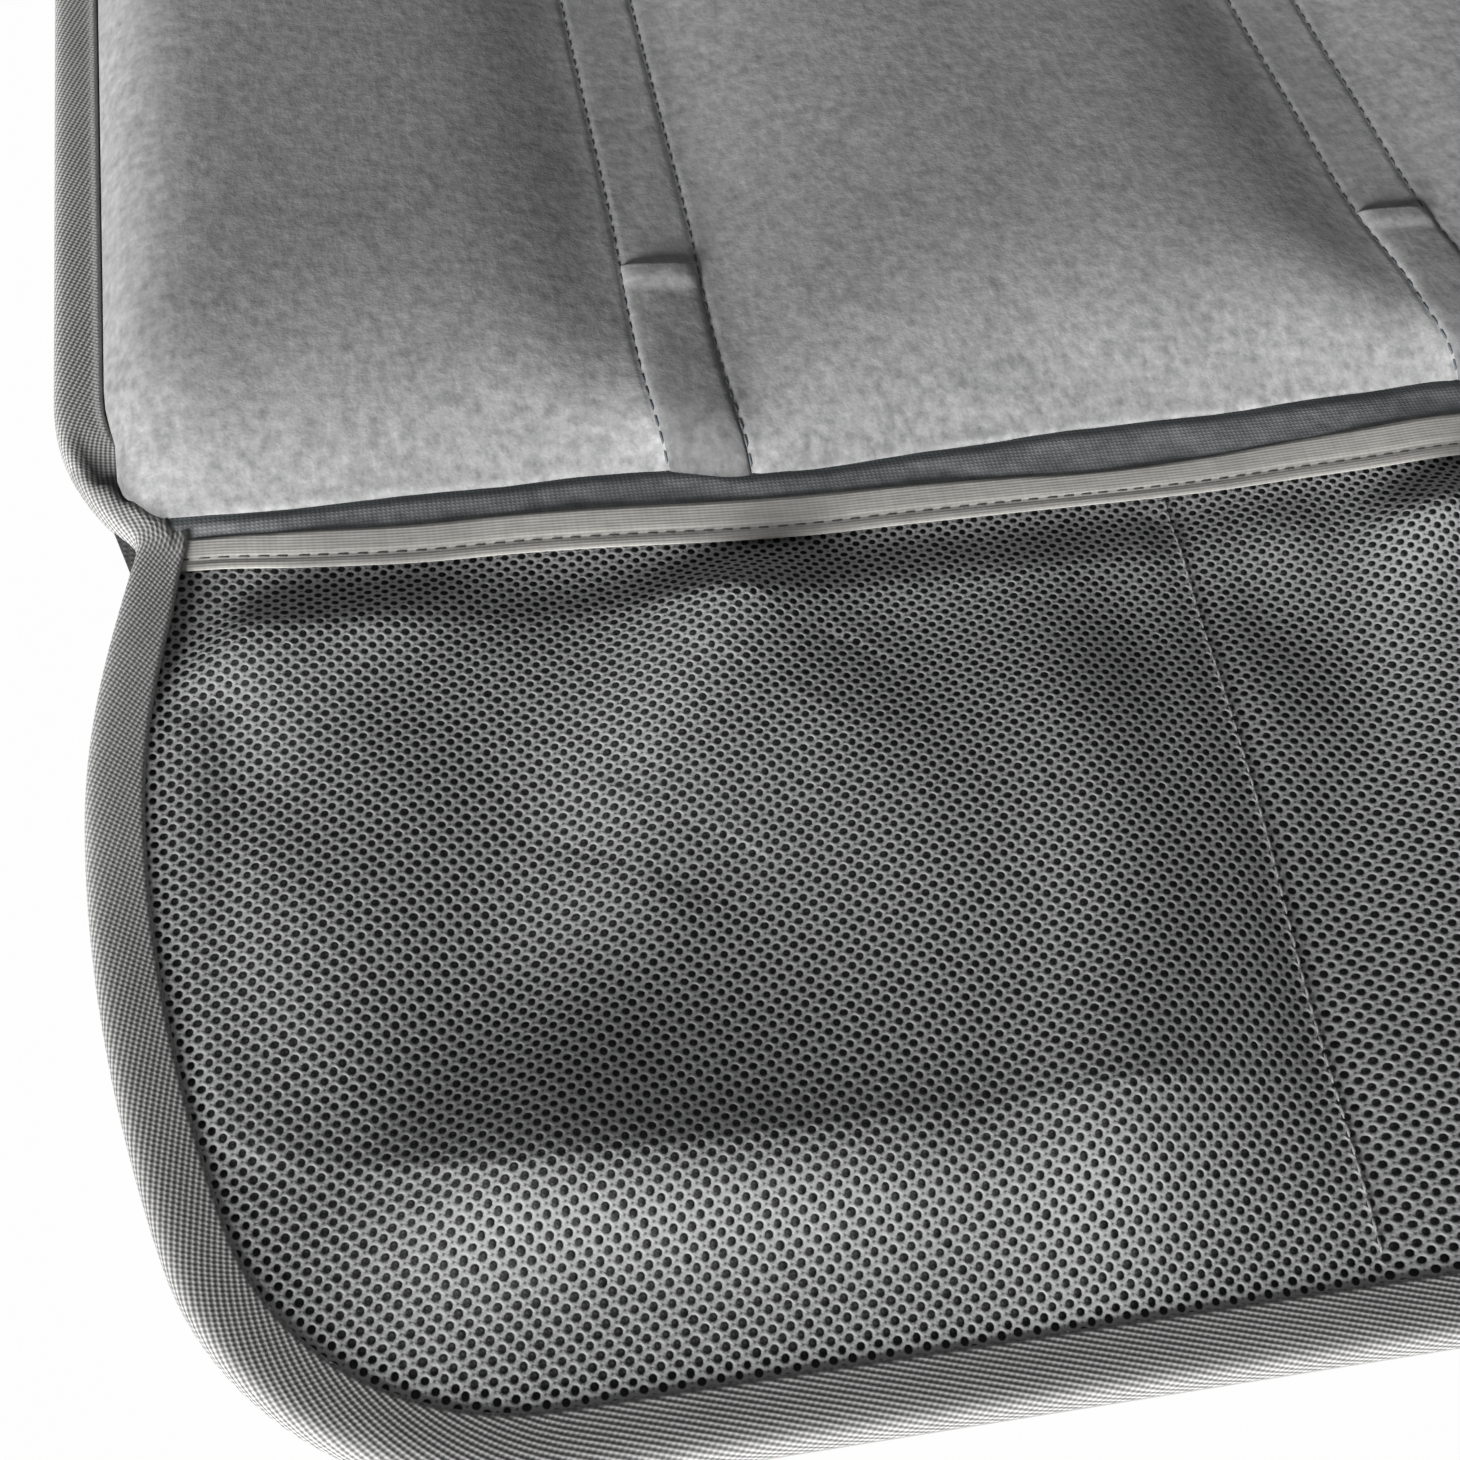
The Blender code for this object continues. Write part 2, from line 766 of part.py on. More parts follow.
def make_materials():
    return {
        "face": material("face_fabric", CHARCOAL_FACE, 0.92),
        "hem": material("hem_fabric", DARK_HEM, 0.90),
        "tape": material("channel_tape", TAPE_GREY, 0.88),
        "binding": material("binding_twill", BINDING_GREY, 0.80),
        "ribbon": material("woven_ribbon", RIBBON_GREY, 0.72),
        "net": material("netting", NET_GREY, 0.70),
        "lining": material("flap_lining", LINING_BLACK, 0.85),
        "backing": material("backing_cloth", BACKING_BLACK, 0.85),
        "grip": material("grip_sheet", GRIP_BLACK, 0.60),
        "felt": material("base_felt", FELT_GREY, 0.95),
        "foam": material("foam", FOAM_GREY, 0.95),
        "strap": material("elastic_strap", STRAP_BLACK, 0.80),
    }


def main():
    clear_scene()
    parts = new_collection("car_seat_protector_mat")
    cutters = new_collection("cutters")
    mats = make_materials()
    flat_layers(parts, mats)
    seat_panel(parts, cutters, mats)
    back_panel(parts, cutters, mats)
    channel_tapes(parts, mats["tape"])
    mesh_pocket(parts, mats["net"])
    pocket_ribbon(parts, mats["ribbon"])
    edge_binding(parts, mats["binding"])
    back_strap(parts, mats["strap"])
    seat_grip_sheet(parts, mats["grip"])


main()
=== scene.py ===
"""Looks of the car seat protector mat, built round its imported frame.

Metres, +Z up. The mat lies flat, its flap with the netting pocket towards -Y.
Places on the mat are often given from the left notch: along is the distance to
the right of it, and out is the distance towards the backrest.
"""

import math

import bmesh
import bpy
import numpy as np
from mathutils import Matrix, Vector


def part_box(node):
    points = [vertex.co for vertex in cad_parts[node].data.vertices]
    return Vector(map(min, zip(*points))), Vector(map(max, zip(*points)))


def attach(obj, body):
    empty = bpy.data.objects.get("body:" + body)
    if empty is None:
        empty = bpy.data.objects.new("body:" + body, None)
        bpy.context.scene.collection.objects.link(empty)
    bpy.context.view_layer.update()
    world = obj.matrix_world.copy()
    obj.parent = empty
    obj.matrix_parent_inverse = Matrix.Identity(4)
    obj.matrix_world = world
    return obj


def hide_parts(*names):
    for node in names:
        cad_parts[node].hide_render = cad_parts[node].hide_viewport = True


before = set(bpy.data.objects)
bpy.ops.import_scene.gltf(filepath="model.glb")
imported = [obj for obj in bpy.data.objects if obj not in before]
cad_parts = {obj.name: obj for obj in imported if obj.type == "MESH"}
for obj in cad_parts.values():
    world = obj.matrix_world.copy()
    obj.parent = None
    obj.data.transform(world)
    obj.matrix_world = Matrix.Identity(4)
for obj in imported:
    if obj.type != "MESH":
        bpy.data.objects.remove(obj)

SEED = 7
RIPPLE_WAVES = 6
ARC_STEPS = 24
SWELL_STEPS = 12
LAYER_INSET = 0.0017  # from the outline to the layers inside the tape
CLOTH_GAP = 0.0003

# Outline of the mat, as in the solids
LOW, HIGH = (np.array(corner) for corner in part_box("edge_binding"))
FLAP_DEPTH = 0.150
NOTCH_INSET = 0.0125
SEAT_CORNER_RADIUS = 0.045
BACK_CORNER_RADIUS = 0.060
FLAP_BULGE = 0.0083
FLAP_BULGE_AT = 0.052
FLAP_SIDE_RADIUS = 0.250
FLAP_CORNER_RADIUS = 0.045
HALF_WIDTH = float(HIGH[0])
TOP_Y = float(HIGH[1])
BOTTOM_Y = float(LOW[1])
NOTCH_Y = BOTTOM_Y + FLAP_DEPTH
NOTCH_X = HALF_WIDTH - NOTCH_INSET
FOLD_Y = (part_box("fold_strip")[0][1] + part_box("fold_strip")[1][1]) / 2
FOLD_HALF = FOLD_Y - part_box("fold_strip")[0][1]
OUTLINE_STEP = 0.0016  # between the stations of the outline
NOTCH_SOFTENING = 1  # stations averaged on each side

# Levels of the layers
BACKING_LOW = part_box("backing_cloth")[0][2]
BACKING_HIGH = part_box("backing_cloth")[1][2]
LINING_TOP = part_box("flap_lining")[1][2]
FELT_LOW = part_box("seat_base_felt")[0][2]
CLOTH_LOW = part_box("front_hem_strip")[0][2]
CLOTH_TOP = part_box("front_hem_strip")[1][2]
BINDING_TOP = float(HIGH[2])

# Channels and padded blocks
CHANNELS = [
    (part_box(f"channel_tape_{n}")[0][0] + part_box(f"channel_tape_{n}")[1][0]) / 2
    for n in (1, 2, 3)
]
CHANNEL_WIDTH = 0.0130
SEAT_FRONT = 0.0080


def clamp(values):
    return np.clip(values, 0.0, 1.0)


def smooth(values):
    """Eases from 0 to 1."""
    values = clamp(values)
    return values * values * (3 - 2 * values)


def curve_value(knots, at):
    """A smooth curve through (place, value) knots, level past its ends."""
    places = [knot[0] for knot in knots]
    values = [knot[1] for knot in knots]
    at = np.clip(at, places[0], places[-1])
    index = np.clip(np.searchsorted(places, at) - 1, 0, len(places) - 2)
    places = np.array(places)
    values = np.array(values)
    slopes = np.gradient(values, places)
    span = places[index + 1] - places[index]
    t = (at - places[index]) / span
    start = values[index] * (1 + 2 * t) * (1 - t) ** 2
    end = values[index + 1] * t * t * (3 - 2 * t)
    leave = slopes[index] * span * t * (1 - t) ** 2
    arrive = slopes[index + 1] * span * t * t * (t - 1)
    return start + end + leave + arrive


def ripple(x, y, pitch, seed):
    """Soft uneven waves between -1 and 1, with no repeat in sight."""
    random = np.random.default_rng(seed)
    total = np.zeros(np.broadcast(x, y).shape)
    for _ in range(RIPPLE_WAVES):
        turn = random.uniform(0, 2 * math.pi)
        size = random.uniform(0.7, 1.5)
        phase = random.uniform(0, 2 * math.pi)
        far = np.cos(turn) * x + np.sin(turn) * y
        total += np.sin(2 * math.pi * far / (pitch * size) + phase)
    return total / RIPPLE_WAVES


# Outline


def arc(centre, radius, start, end):
    angles = np.linspace(start, end, ARC_STEPS + 1)
    x = centre[0] + radius * np.cos(angles)
    y = centre[1] + radius * np.sin(angles)
    return list(zip(x, y))


def left_outline():
    """The mat's left edge, from the middle of the top edge down to the flap's."""
    centre = (-HALF_WIDTH + BACK_CORNER_RADIUS, TOP_Y - BACK_CORNER_RADIUS)
    points = [(0.0, TOP_Y)] + arc(centre, BACK_CORNER_RADIUS, math.pi / 2, math.pi)
    turn = math.acos(1 - NOTCH_INSET / SEAT_CORNER_RADIUS)
    rise = SEAT_CORNER_RADIUS * math.sin(turn)
    centre = (-HALF_WIDTH + SEAT_CORNER_RADIUS, NOTCH_Y + rise)
    points += arc(centre, SEAT_CORNER_RADIUS, math.pi, math.pi + turn)
    for step in range(1, SWELL_STEPS):
        share = step / SWELL_STEPS
        swell = FLAP_BULGE * math.sin(share * math.pi / 2)
        points.append((-NOTCH_X - swell, NOTCH_Y - FLAP_BULGE_AT * share))
    radius_step = FLAP_SIDE_RADIUS - FLAP_CORNER_RADIUS
    fall = FLAP_DEPTH - FLAP_BULGE_AT - FLAP_CORNER_RADIUS
    turn = math.asin(fall / radius_step)
    side = (-NOTCH_X - FLAP_BULGE + FLAP_SIDE_RADIUS, NOTCH_Y - FLAP_BULGE_AT)
    corner = (
        side[0] - radius_step * math.cos(turn),
        side[1] - radius_step * math.sin(turn),
    )
    points += arc(side, FLAP_SIDE_RADIUS, math.pi, math.pi + turn)
    points += arc(corner, FLAP_CORNER_RADIUS, math.pi + turn, math.pi * 1.5)[1:]
    return points + [(0.0, BOTTOM_Y)]


def travelled(points):
    """Distance along a polyline at each of its points."""
    lengths = np.linalg.norm(np.diff(points, axis=0), axis=1)
    return np.concatenate([[0.0], np.cumsum(lengths)])


def resample(points, step):
    """The polyline with stations about one step apart."""
    points = np.array(points, float)
    lengths = np.hypot(*np.diff(points, axis=0).T)
    points = points[np.concatenate([[True], lengths > step / 100])]
    travel = travelled(points)
    count = max(2, int(round(travel[-1] / step)) + 1)
    at = np.linspace(0.0, travel[-1], count)
    return np.stack([np.interp(at, travel, points[:, k]) for k in range(2)], axis=1)


def whole_outline():
    """Closed outline, counter-clockwise, its notches softened like tape."""
    left = resample(left_outline(), OUTLINE_STEP)
    right = left[::-1][1:-1] * (-1, 1)
    ring = np.concatenate([left, right])
    total = np.zeros_like(ring)
    for shift in range(-NOTCH_SOFTENING, NOTCH_SOFTENING + 1):
        total += np.roll(ring, shift, axis=0)
    return total / (2 * NOTCH_SOFTENING + 1)


def normals_of(ring):
    """Unit normals that point into the outline."""
    along = np.roll(ring, -1, axis=0) - np.roll(ring, 1, axis=0)
    along /= np.hypot(along[:, 0], along[:, 1])[:, None]
    return np.stack([-along[:, 1], along[:, 0]], axis=1)


OUTLINE = whole_outline()
INWARD = normals_of(OUTLINE)


def half_width_at(y, inset):
    """Distance from the middle to the outline moved inwards by inset."""
    ring = OUTLINE + INWARD * inset
    left = ring[: len(ring) // 2 + 1]
    order = np.argsort(left[:, 1])
    return -np.interp(y, left[order, 1], left[order, 0])


def edge_distance(x, y):
    """How far inside the outline each point is."""
    part = OUTLINE[::3]
    after = np.roll(part, -1, axis=0)
    best = np.full(np.shape(x), 1.0)
    for (ax, ay), (bx, by) in zip(part, after):
        dx, dy = bx - ax, by - ay
        t = clamp(((x - ax) * dx + (y - ay) * dy) / (dx * dx + dy * dy))
        best = np.minimum(best, np.hypot(x - ax - dx * t, y - ay - dy * t))
    return best


# Meshes


def mesh_object(name, points, faces, material, uv=None, values=None):
    """A smooth mesh from arrays of points and of faces with equal corners.

    uv holds a pair per point, and values maps a name to a number per point.
    """
    points = np.asarray(points, np.float32).reshape(-1, 3)
    faces = np.asarray(faces, np.int32)
    corners = faces.shape[1]
    mesh = bpy.data.meshes.new(name)
    mesh.vertices.add(len(points))
    mesh.vertices.foreach_set("co", points.ravel())
    mesh.loops.add(faces.size)
    mesh.loops.foreach_set("vertex_index", faces.ravel())
    mesh.polygons.add(len(faces))
    mesh.polygons.foreach_set("loop_start", np.arange(0, faces.size, corners))
    mesh.update(calc_edges=True)
    if uv is not None:
        layer = mesh.uv_layers.new(name="weave")
        pairs = np.asarray(uv, np.float32).reshape(-1, 2)[faces.ravel()]
        layer.data.foreach_set("uv", pairs.ravel())
    for key, numbers in (values or {}).items():
        attribute = mesh.attributes.new(key, "FLOAT", "POINT")
        attribute.data.foreach_set("value", np.asarray(numbers, np.float32).ravel())
    mesh.materials.append(material)
    mesh.shade_smooth()
    obj = bpy.data.objects.new(name, mesh)
    bpy.context.scene.collection.objects.link(obj)
    return obj


def grid_faces(rows, columns, wrap_rows=False, wrap_columns=False, start=0):
    """Quads of a grid of points, counted row by row."""
    row = np.arange(rows if wrap_rows else rows - 1)
    column = np.arange(columns if wrap_columns else columns - 1)
    a, b = np.meshgrid(row, column, indexing="ij")
    a2 = (a + 1) % rows
    b2 = (b + 1) % columns
    quads = [a * columns + b, a * columns + b2, a2 * columns + b2, a2 * columns + b]
    return np.stack(quads, axis=-1).reshape(-1, 4) + start


def closed_panel(name, x, y, high, low, material, uv=None, values=None):
    """A closed cloth body between two height fields on the same grid."""
    rows, columns = x.shape
    top = np.stack([x, y, high], axis=-1).reshape(-1, 3)
    under = np.stack([x, y, low], axis=-1).reshape(-1, 3)
    count = rows * columns
    upper = grid_faces(rows, columns)
    lower = grid_faces(rows, columns, start=count)[:, ::-1]
    index = np.arange(count).reshape(rows, columns)
    rim = np.concatenate(
        [index[0, :], index[1:, -1], index[-1, -2::-1], index[-2:0:-1, 0]]
    )
    after = np.roll(rim, -1)
    wall = np.stack([after, rim, rim + count, after + count], axis=1)
    faces = np.concatenate([upper, lower, wall])
    if uv is None:
        uv = np.stack([x, y], axis=-1).reshape(-1, 2)
    both = {key: np.tile(np.ravel(v), 2) for key, v in (values or {}).items()}
    points = np.concatenate([top, under])
    obj = mesh_object(name, points, faces, material, np.tile(uv, (2, 1)), both)
    flip_if_inside_out(obj)
    return obj


def flip_if_inside_out(obj):
    """Turns all faces round where they point into a closed body, or down."""
    mesh = obj.data
    count = len(mesh.polygons)
    centres = np.zeros(count * 3, np.float32)
    normals = np.zeros(count * 3, np.float32)
    areas = np.zeros(count, np.float32)
    mesh.polygons.foreach_get("center", centres)
    mesh.polygons.foreach_get("normal", normals)
    mesh.polygons.foreach_get("area", areas)
    if (centres[2::3] * normals[2::3] * areas).sum() < 0:
        mesh.flip_normals()


def dense(low, high, step, spots=(), fine=0.0006, reach=0.006):
    """Places from low to high, one step apart but finer around the spots."""
    places = [low]
    while places[-1] < high:
        near = min([abs(places[-1] - spot) for spot in spots] or [1.0])
        share = min(max((near - reach / 3) / reach, 0.0), 1.0)
        places.append(places[-1] + fine + (step - fine) * share)
    places[-1] = high
    return np.array(places)


def outline_grid(y, columns, inset):
    """Points that fill the outline, less the inset, along each line of y."""
    share = np.linspace(-1, 1, columns)
    x = share[None, :] * half_width_at(y, inset)[:, None]
    return x, np.repeat(y[:, None], columns, axis=1)


def sweep(name, path, section, material):
    """A closed section carried along a path.

    path holds (point, sideways, up) arrays, and section has (across, rise) pairs
    for each point of the path.
    """
    points, sideways, up = path
    body = (
        points[:, None, :]
        + sideways[:, None, :] * section[:, :, 0, None]
        + up[:, None, :] * section[:, :, 1, None]
    )
    rows, columns = body.shape[:2]
    faces = grid_faces(rows, columns, wrap_columns=True)
    travel = np.repeat(travelled(points)[:, None], columns, axis=1)
    uv = np.stack([travel, section[:, :, 0]], axis=-1)
    obj = mesh_object(name, body, faces, material, uv)
    close_ends(obj, rows, columns)
    flip_if_inside_out(obj)
    return obj


def close_ends(obj, rows, columns):
    """Closes both ends of a swept body with one face each."""
    bm = bmesh.new()
    bm.from_mesh(obj.data)
    bm.verts.ensure_lookup_table()
    first = [bm.verts[k] for k in range(columns)]
    last = [bm.verts[(rows - 1) * columns + k] for k in range(columns)]
    bm.faces.new(first[::-1])
    bm.faces.new(last)
    bmesh.ops.recalc_face_normals(bm, faces=bm.faces)
    bm.to_mesh(obj.data)
    bm.free()


def describe(obj, slot_name, *nodes):
    """Puts a piece under the root body and hides the solids that it stands for; slot_name
    is not used.
    """
    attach(obj, "root")
    if nodes:
        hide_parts(*nodes)


STITCH_SIDES = 5
STITCH_UNEVEN = 0.03  # of their pitch
STITCH_DIP = 0.6  # of their thickness
STITCH_RINGS = ((-0.5, 0.35), (-0.28, 0.95), (0.28, 0.95), (0.5, 0.35))


def stitch_row(name, path, pitch, share, thick, material, sink=0.0):
    """Short lengths of thread along a path of points, each with a dip at its ends."""
    path = np.asarray(path, float)
    travel = travelled(path)
    count = int(travel[-1] / pitch)
    random = np.random.default_rng(SEED + count)
    middles = (np.arange(count) + 0.5) * pitch
    middles += random.normal(0, pitch * STITCH_UNEVEN, count)
    half = pitch * share
    at = middles[:, None] + np.array([ring[0] for ring in STITCH_RINGS]) * half
    centre = np.stack([np.interp(at, travel, path[:, k]) for k in range(3)], axis=-1)
    along = centre[:, -1] - centre[:, 0]
    along /= np.linalg.norm(along, axis=1)[:, None]
    side = np.cross(along, (0.0, 0.0, 1.0))
    side /= np.linalg.norm(side, axis=1)[:, None]
    up = np.cross(side, along)
    angles = np.arange(STITCH_SIDES) / STITCH_SIDES * 2 * math.pi
    size = np.array([ring[1] for ring in STITCH_RINGS]) * thick / 2
    dip = (1 - np.array([ring[1] for ring in STITCH_RINGS])) * thick * STITCH_DIP + sink
    body = (
        centre[:, :, None, :]
        + side[:, None, None, :] * (np.cos(angles) * size[:, None])[None, ..., None]
        + up[:, None, None, :]
        * ((np.sin(angles) * size[:, None]) - dip[:, None])[None, ..., None]
    )
    per = len(STITCH_RINGS) * STITCH_SIDES
    one = grid_faces(len(STITCH_RINGS), STITCH_SIDES, wrap_columns=True)
    faces = (one[None] + np.arange(count)[:, None, None] * per).reshape(-1, 4)
    return mesh_object(name, body.reshape(-1, 3), faces, material)


# Materials


def add_node(tree, kind, inputs=None, **settings):
    """A new node, each input of which is a value or another node's socket."""
    made = tree.nodes.new(kind)
    for key, value in settings.items():
        setattr(made, key, value)
    for key, value in (inputs or {}).items():
        if isinstance(value, bpy.types.NodeSocket):
            tree.links.new(value, made.inputs[key])
        else:
            made.inputs[key].default_value = value
    return made


def opaque(colour):
    """A bare colour with its alpha; sockets and numbers stay as they are."""
    return (*colour, 1.0) if isinstance(colour, tuple) else colour


class Shader:
    """Short ways to add and join the nodes of one material."""

    def __init__(self, name, colour, roughness, **sockets):
        self.material = bpy.data.materials.new(name)
        self.material.use_nodes = True
        self.tree = self.material.node_tree
        self.body = self.tree.nodes["Principled BSDF"]
        self.body.inputs["Base Color"].default_value = (*colour, 1.0)
        self.body.inputs["Roughness"].default_value = roughness
        for key, value in sockets.items():
            self.body.inputs[key.replace("_", " ")].default_value = value
        self.material.diffuse_color = (*colour, 1.0)

    def node(self, kind, inputs=None, **settings):
        return add_node(self.tree, kind, inputs, **settings)

    def math(self, operation, a, b=0.0):
        return self.node("ShaderNodeMath", {0: a, 1: b}, operation=operation).outputs[0]

    def total(self, *parts):
        """Sum of (socket, share) pairs."""
        made = None
        for socket, share in parts:
            part = self.math("MULTIPLY", socket, share)
            made = part if made is None else self.math("ADD", made, part)
        return made

    def weave_axes(self):
        """Travel along and across the cloth, in metres."""
        uv = self.node("ShaderNodeUVMap", uv_map="weave").outputs[0]
        axes = self.node("ShaderNodeSeparateXYZ", {0: uv})
        return axes.outputs[0], axes.outputs[1]

    def value(self, name):
        return self.node("ShaderNodeAttribute", attribute_name=name).outputs["Fac"]

    def noise(self, size, detail=2.0, stretch=None, roughness=0.5):
        place = self.node("ShaderNodeTexCoord").outputs["Object"]
        if stretch:
            inputs = {0: place, 1: stretch}
            place = self.node("ShaderNodeVectorMath", inputs, operation="MULTIPLY")
            place = place.outputs[0]
        inputs = {
            "Vector": place, "Scale": 1.0 / size, "Detail": detail, "Roughness": roughness,
        }
        return self.node("ShaderNodeTexNoise", inputs).outputs[0]

    def wave(self, travel, pitch):
        """A sine between 0 and 1 along travel."""
        turns = self.math("MULTIPLY", travel, 2 * math.pi / pitch)
        scaled = self.math("MULTIPLY", self.math("SINE", turns), 0.5)
        return self.math("ADD", scaled, 0.5)

    def blend(self, share, a, b):
        """a where share is 0 and b where it is 1, for numbers."""
        span = self.math("SUBTRACT", b, a)
        return self.math("ADD", self.math("MULTIPLY", span, share), a)

    def peak(self, at, centre, width):
        """1 at the centre and falling to 0 about a width away."""
        far = self.math("DIVIDE", self.math("SUBTRACT", at, centre), width)
        fall = self.math("POWER", self.math("ABSOLUTE", far), 3.0)
        return self.math("DIVIDE", 1.0, self.math("ADD", 1.0, fall))

    def ramp(self, factor, *stops):
        made = self.node("ShaderNodeValToRGB", {0: factor})
        elements = made.color_ramp.elements
        while len(elements) < len(stops):
            elements.new(0.5)
        for element, (position, colour) in zip(elements, stops):
            element.position = position
            element.color = opaque(colour)
        return made.outputs[0]

    def mix(self, factor, a, b):
        inputs = {0: factor, 6: opaque(a), 7: opaque(b)}
        return self.node("ShaderNodeMix", inputs, data_type="RGBA").outputs[2]

    def scaled(self, colour, factor):
        inputs = {0: colour, "Scale": factor}
        return self.node("ShaderNodeVectorMath", inputs, operation="SCALE").outputs[0]

    def colour(self, socket):
        self.tree.links.new(socket, self.body.inputs["Base Color"])

    def roughness(self, factor, low, high):
        level = self.math("ADD", self.math("MULTIPLY", factor, high - low), low)
        self.tree.links.new(level, self.body.inputs["Roughness"])

    def bump(self, *heights):
        """heights are (socket, metres of relief) pairs, laid over each other."""
        normal = None
        for socket, relief in heights:
            inputs = {"Height": socket, "Distance": relief, "Strength": 1.0}
            if normal is not None:
                inputs["Normal"] = normal
            normal = self.node("ShaderNodeBump", inputs).outputs[0]
        self.tree.links.new(normal, self.body.inputs["Normal"])


def grey(level, warmth=0.0):
    return (level * (1 + warmth), level, level * (1 - warmth))


PAD_PAINTED_LIGHT = 0.30  # painted light on the cloth's slopes that face the lamp, as a share of its colour


def face_material(name, shade=1.0):
    """Smooth brushed cloth with a soft mottle and short fuzz, lighter where light is
    painted on it and darker where shade is painted on it, by a value per point.
    """
    s = Shader(name, grey(0.25 * shade), 0.92, Sheen_Weight=0.15, Sheen_Roughness=0.5)
    blotch = s.noise(0.0024, 3.0, roughness=0.62)
    streak = s.noise(0.0012, 2.0, stretch=(1.0, 0.42, 1.0))
    fuzz = s.noise(0.00040, 3.0)
    cloud = s.noise(0.028, 2.0)
    mixed = s.total((blotch, 0.50), (fuzz, 0.12), (streak, 0.24), (cloud, 0.14))
    low = tuple(value * shade for value in (0.126, 0.127, 0.128))
    high = tuple(value * shade for value in (0.312, 0.311, 0.312))
    # painted light and painted shade: the value per point scales the cloth's colour up or
    # down
    lighter = s.math("MULTIPLY", s.value("painted_light_and_shade"), PAD_PAINTED_LIGHT)
    lighter = s.math("ADD", 1.0, lighter)
    s.colour(s.scaled(s.ramp(mixed, (0.34, low), (0.66, high)), lighter))
    s.roughness(fuzz, 0.85, 1.0)
    s.bump((blotch, 0.00012), (streak, 0.00006), (fuzz, 0.00003))
    return s.material


def woven_material(name, dark, light, pitch, relief, tint=0.0, rough=0.88):
    """Plain weave: over and under threads, seen as a fine check."""
    s = Shader(name, grey((dark + light) / 2, tint), rough)
    along, across = s.weave_axes()
    check = s.math("MULTIPLY", s.wave(along, pitch), s.wave(across, pitch))
    wear_and_painted_shade = s.noise(0.004, 3.0)
    shade = s.total((check, 0.5), (wear_and_painted_shade, 0.6))
    s.colour(s.ramp(shade, (0.15, grey(dark, tint)), (0.85, grey(light, tint))))
    s.roughness(wear_and_painted_shade, rough - 0.06, rough + 0.06)
    s.bump((check, relief), (wear_and_painted_shade, relief))
    return s.material


def hem_material():
    """Dark woven strip, with painted shade where it turns in under the panel."""
    s = Shader("hem_fabric", (0.150, 0.158, 0.165), 0.88)
    along, across = s.weave_axes()
    check = s.math("MULTIPLY", s.wave(along, 0.0007), s.wave(across, 0.0007))
    wear_and_painted_shade = s.noise(0.0022, 3.0)
    shade = s.total((check, 0.25), (wear_and_painted_shade, 0.75))
    cloth = s.ramp(shade, (0.20, (0.105, 0.111, 0.116)), (0.80, (0.275, 0.282, 0.288)))
    # painted shade where the strip turns in under the panel's edge
    s.colour(s.mix(s.value("turn_in_painted_shade"), cloth, (0.062, 0.071, 0.074)))
    s.roughness(wear_and_painted_shade, 0.80, 0.95)
    s.bump((check, 0.00004), (wear_and_painted_shade, 0.00008))
    return s.material


def binding_material():
    """Twill tape: slanting rows of light beads and dark dots, finer at its selvedge, with
    painted light and painted shade laid over it.
    """
    s = Shader("binding_twill", grey(0.24, 0.005), 0.80)
    along, across = s.weave_axes()
    rib = s.wave(s.total((across, 1.0), (along, TWILL_SLANT)), TWILL_PITCH)
    cross = s.total((along, math.cos(TWILL_CROSS)), (across, -math.sin(TWILL_CROSS)))
    coarse = s.total((rib, 0.68), (s.wave(cross, TWILL_BEAD), 0.32))
    fine_rib = s.wave(across, TWILL_PITCH * 0.6)
    fine_bead = s.wave(along, TWILL_BEAD * 1.3)
    fine = s.math("ADD", s.total((fine_rib, 0.25), (fine_bead, 0.20)), 0.30)
    woven = s.blend(s.value("selvedge"), coarse, fine)
    strand = s.noise(0.0006, 2.0)
    wear_and_painted_shade = s.noise(0.006, 2.0)
    shade = s.total((woven, 0.72), (strand, 0.18), (wear_and_painted_shade, 0.10))
    dark, middle, light = (grey(level, 0.01) for level in (0.085, 0.250, 0.470))
    cloth = s.ramp(shade, (0.22, dark), (0.50, middle), (0.80, light))
    # painted light on the lifted tape below the tucks and near the notches, and the paler
    # strip beside the panels
    cloth = s.mix(s.value("lift_and_painted_light"), cloth, grey(0.52, 0.01))
    # painted shade in the groove, above the tucks, on the tucks' outer edge and towards
    # the flap's front
    s.colour(s.mix(s.value("binding_painted_shade"), cloth, grey(0.022)))
    s.roughness(strand, 0.72, 0.90)
    s.bump((coarse, 0.00009), (strand, 0.00004))
    return s.material


def ribbon_material():
    """Light woven ribbon: fine lengthwise threads, a little warm."""
    s = Shader("woven_ribbon", grey(0.44, 0.03), 0.70)
    along, across = s.weave_axes()
    threads = s.wave(across, 0.00055)
    picks = s.wave(along, 0.0009)
    uneven = s.noise(0.0008, 3.0, stretch=(0.22, 1.0, 1.0))
    cloud = s.noise(0.006, 2.0)
    bars = s.noise(0.0011, 2.0, stretch=(1.0, 0.18, 1.0))
    mixed = s.total(
        (threads, 0.20), (picks, 0.06), (uneven, 0.34), (bars, 0.22), (cloud, 0.18)
    )
    dark, light = (0.260, 0.252, 0.233), (0.445, 0.434, 0.408)
    s.colour(s.ramp(mixed, (0.28, dark), (0.72, light)))
    s.roughness(uneven, 0.70, 0.88)
    s.bump((threads, 0.00002), (uneven, 0.00003))
    return s.material


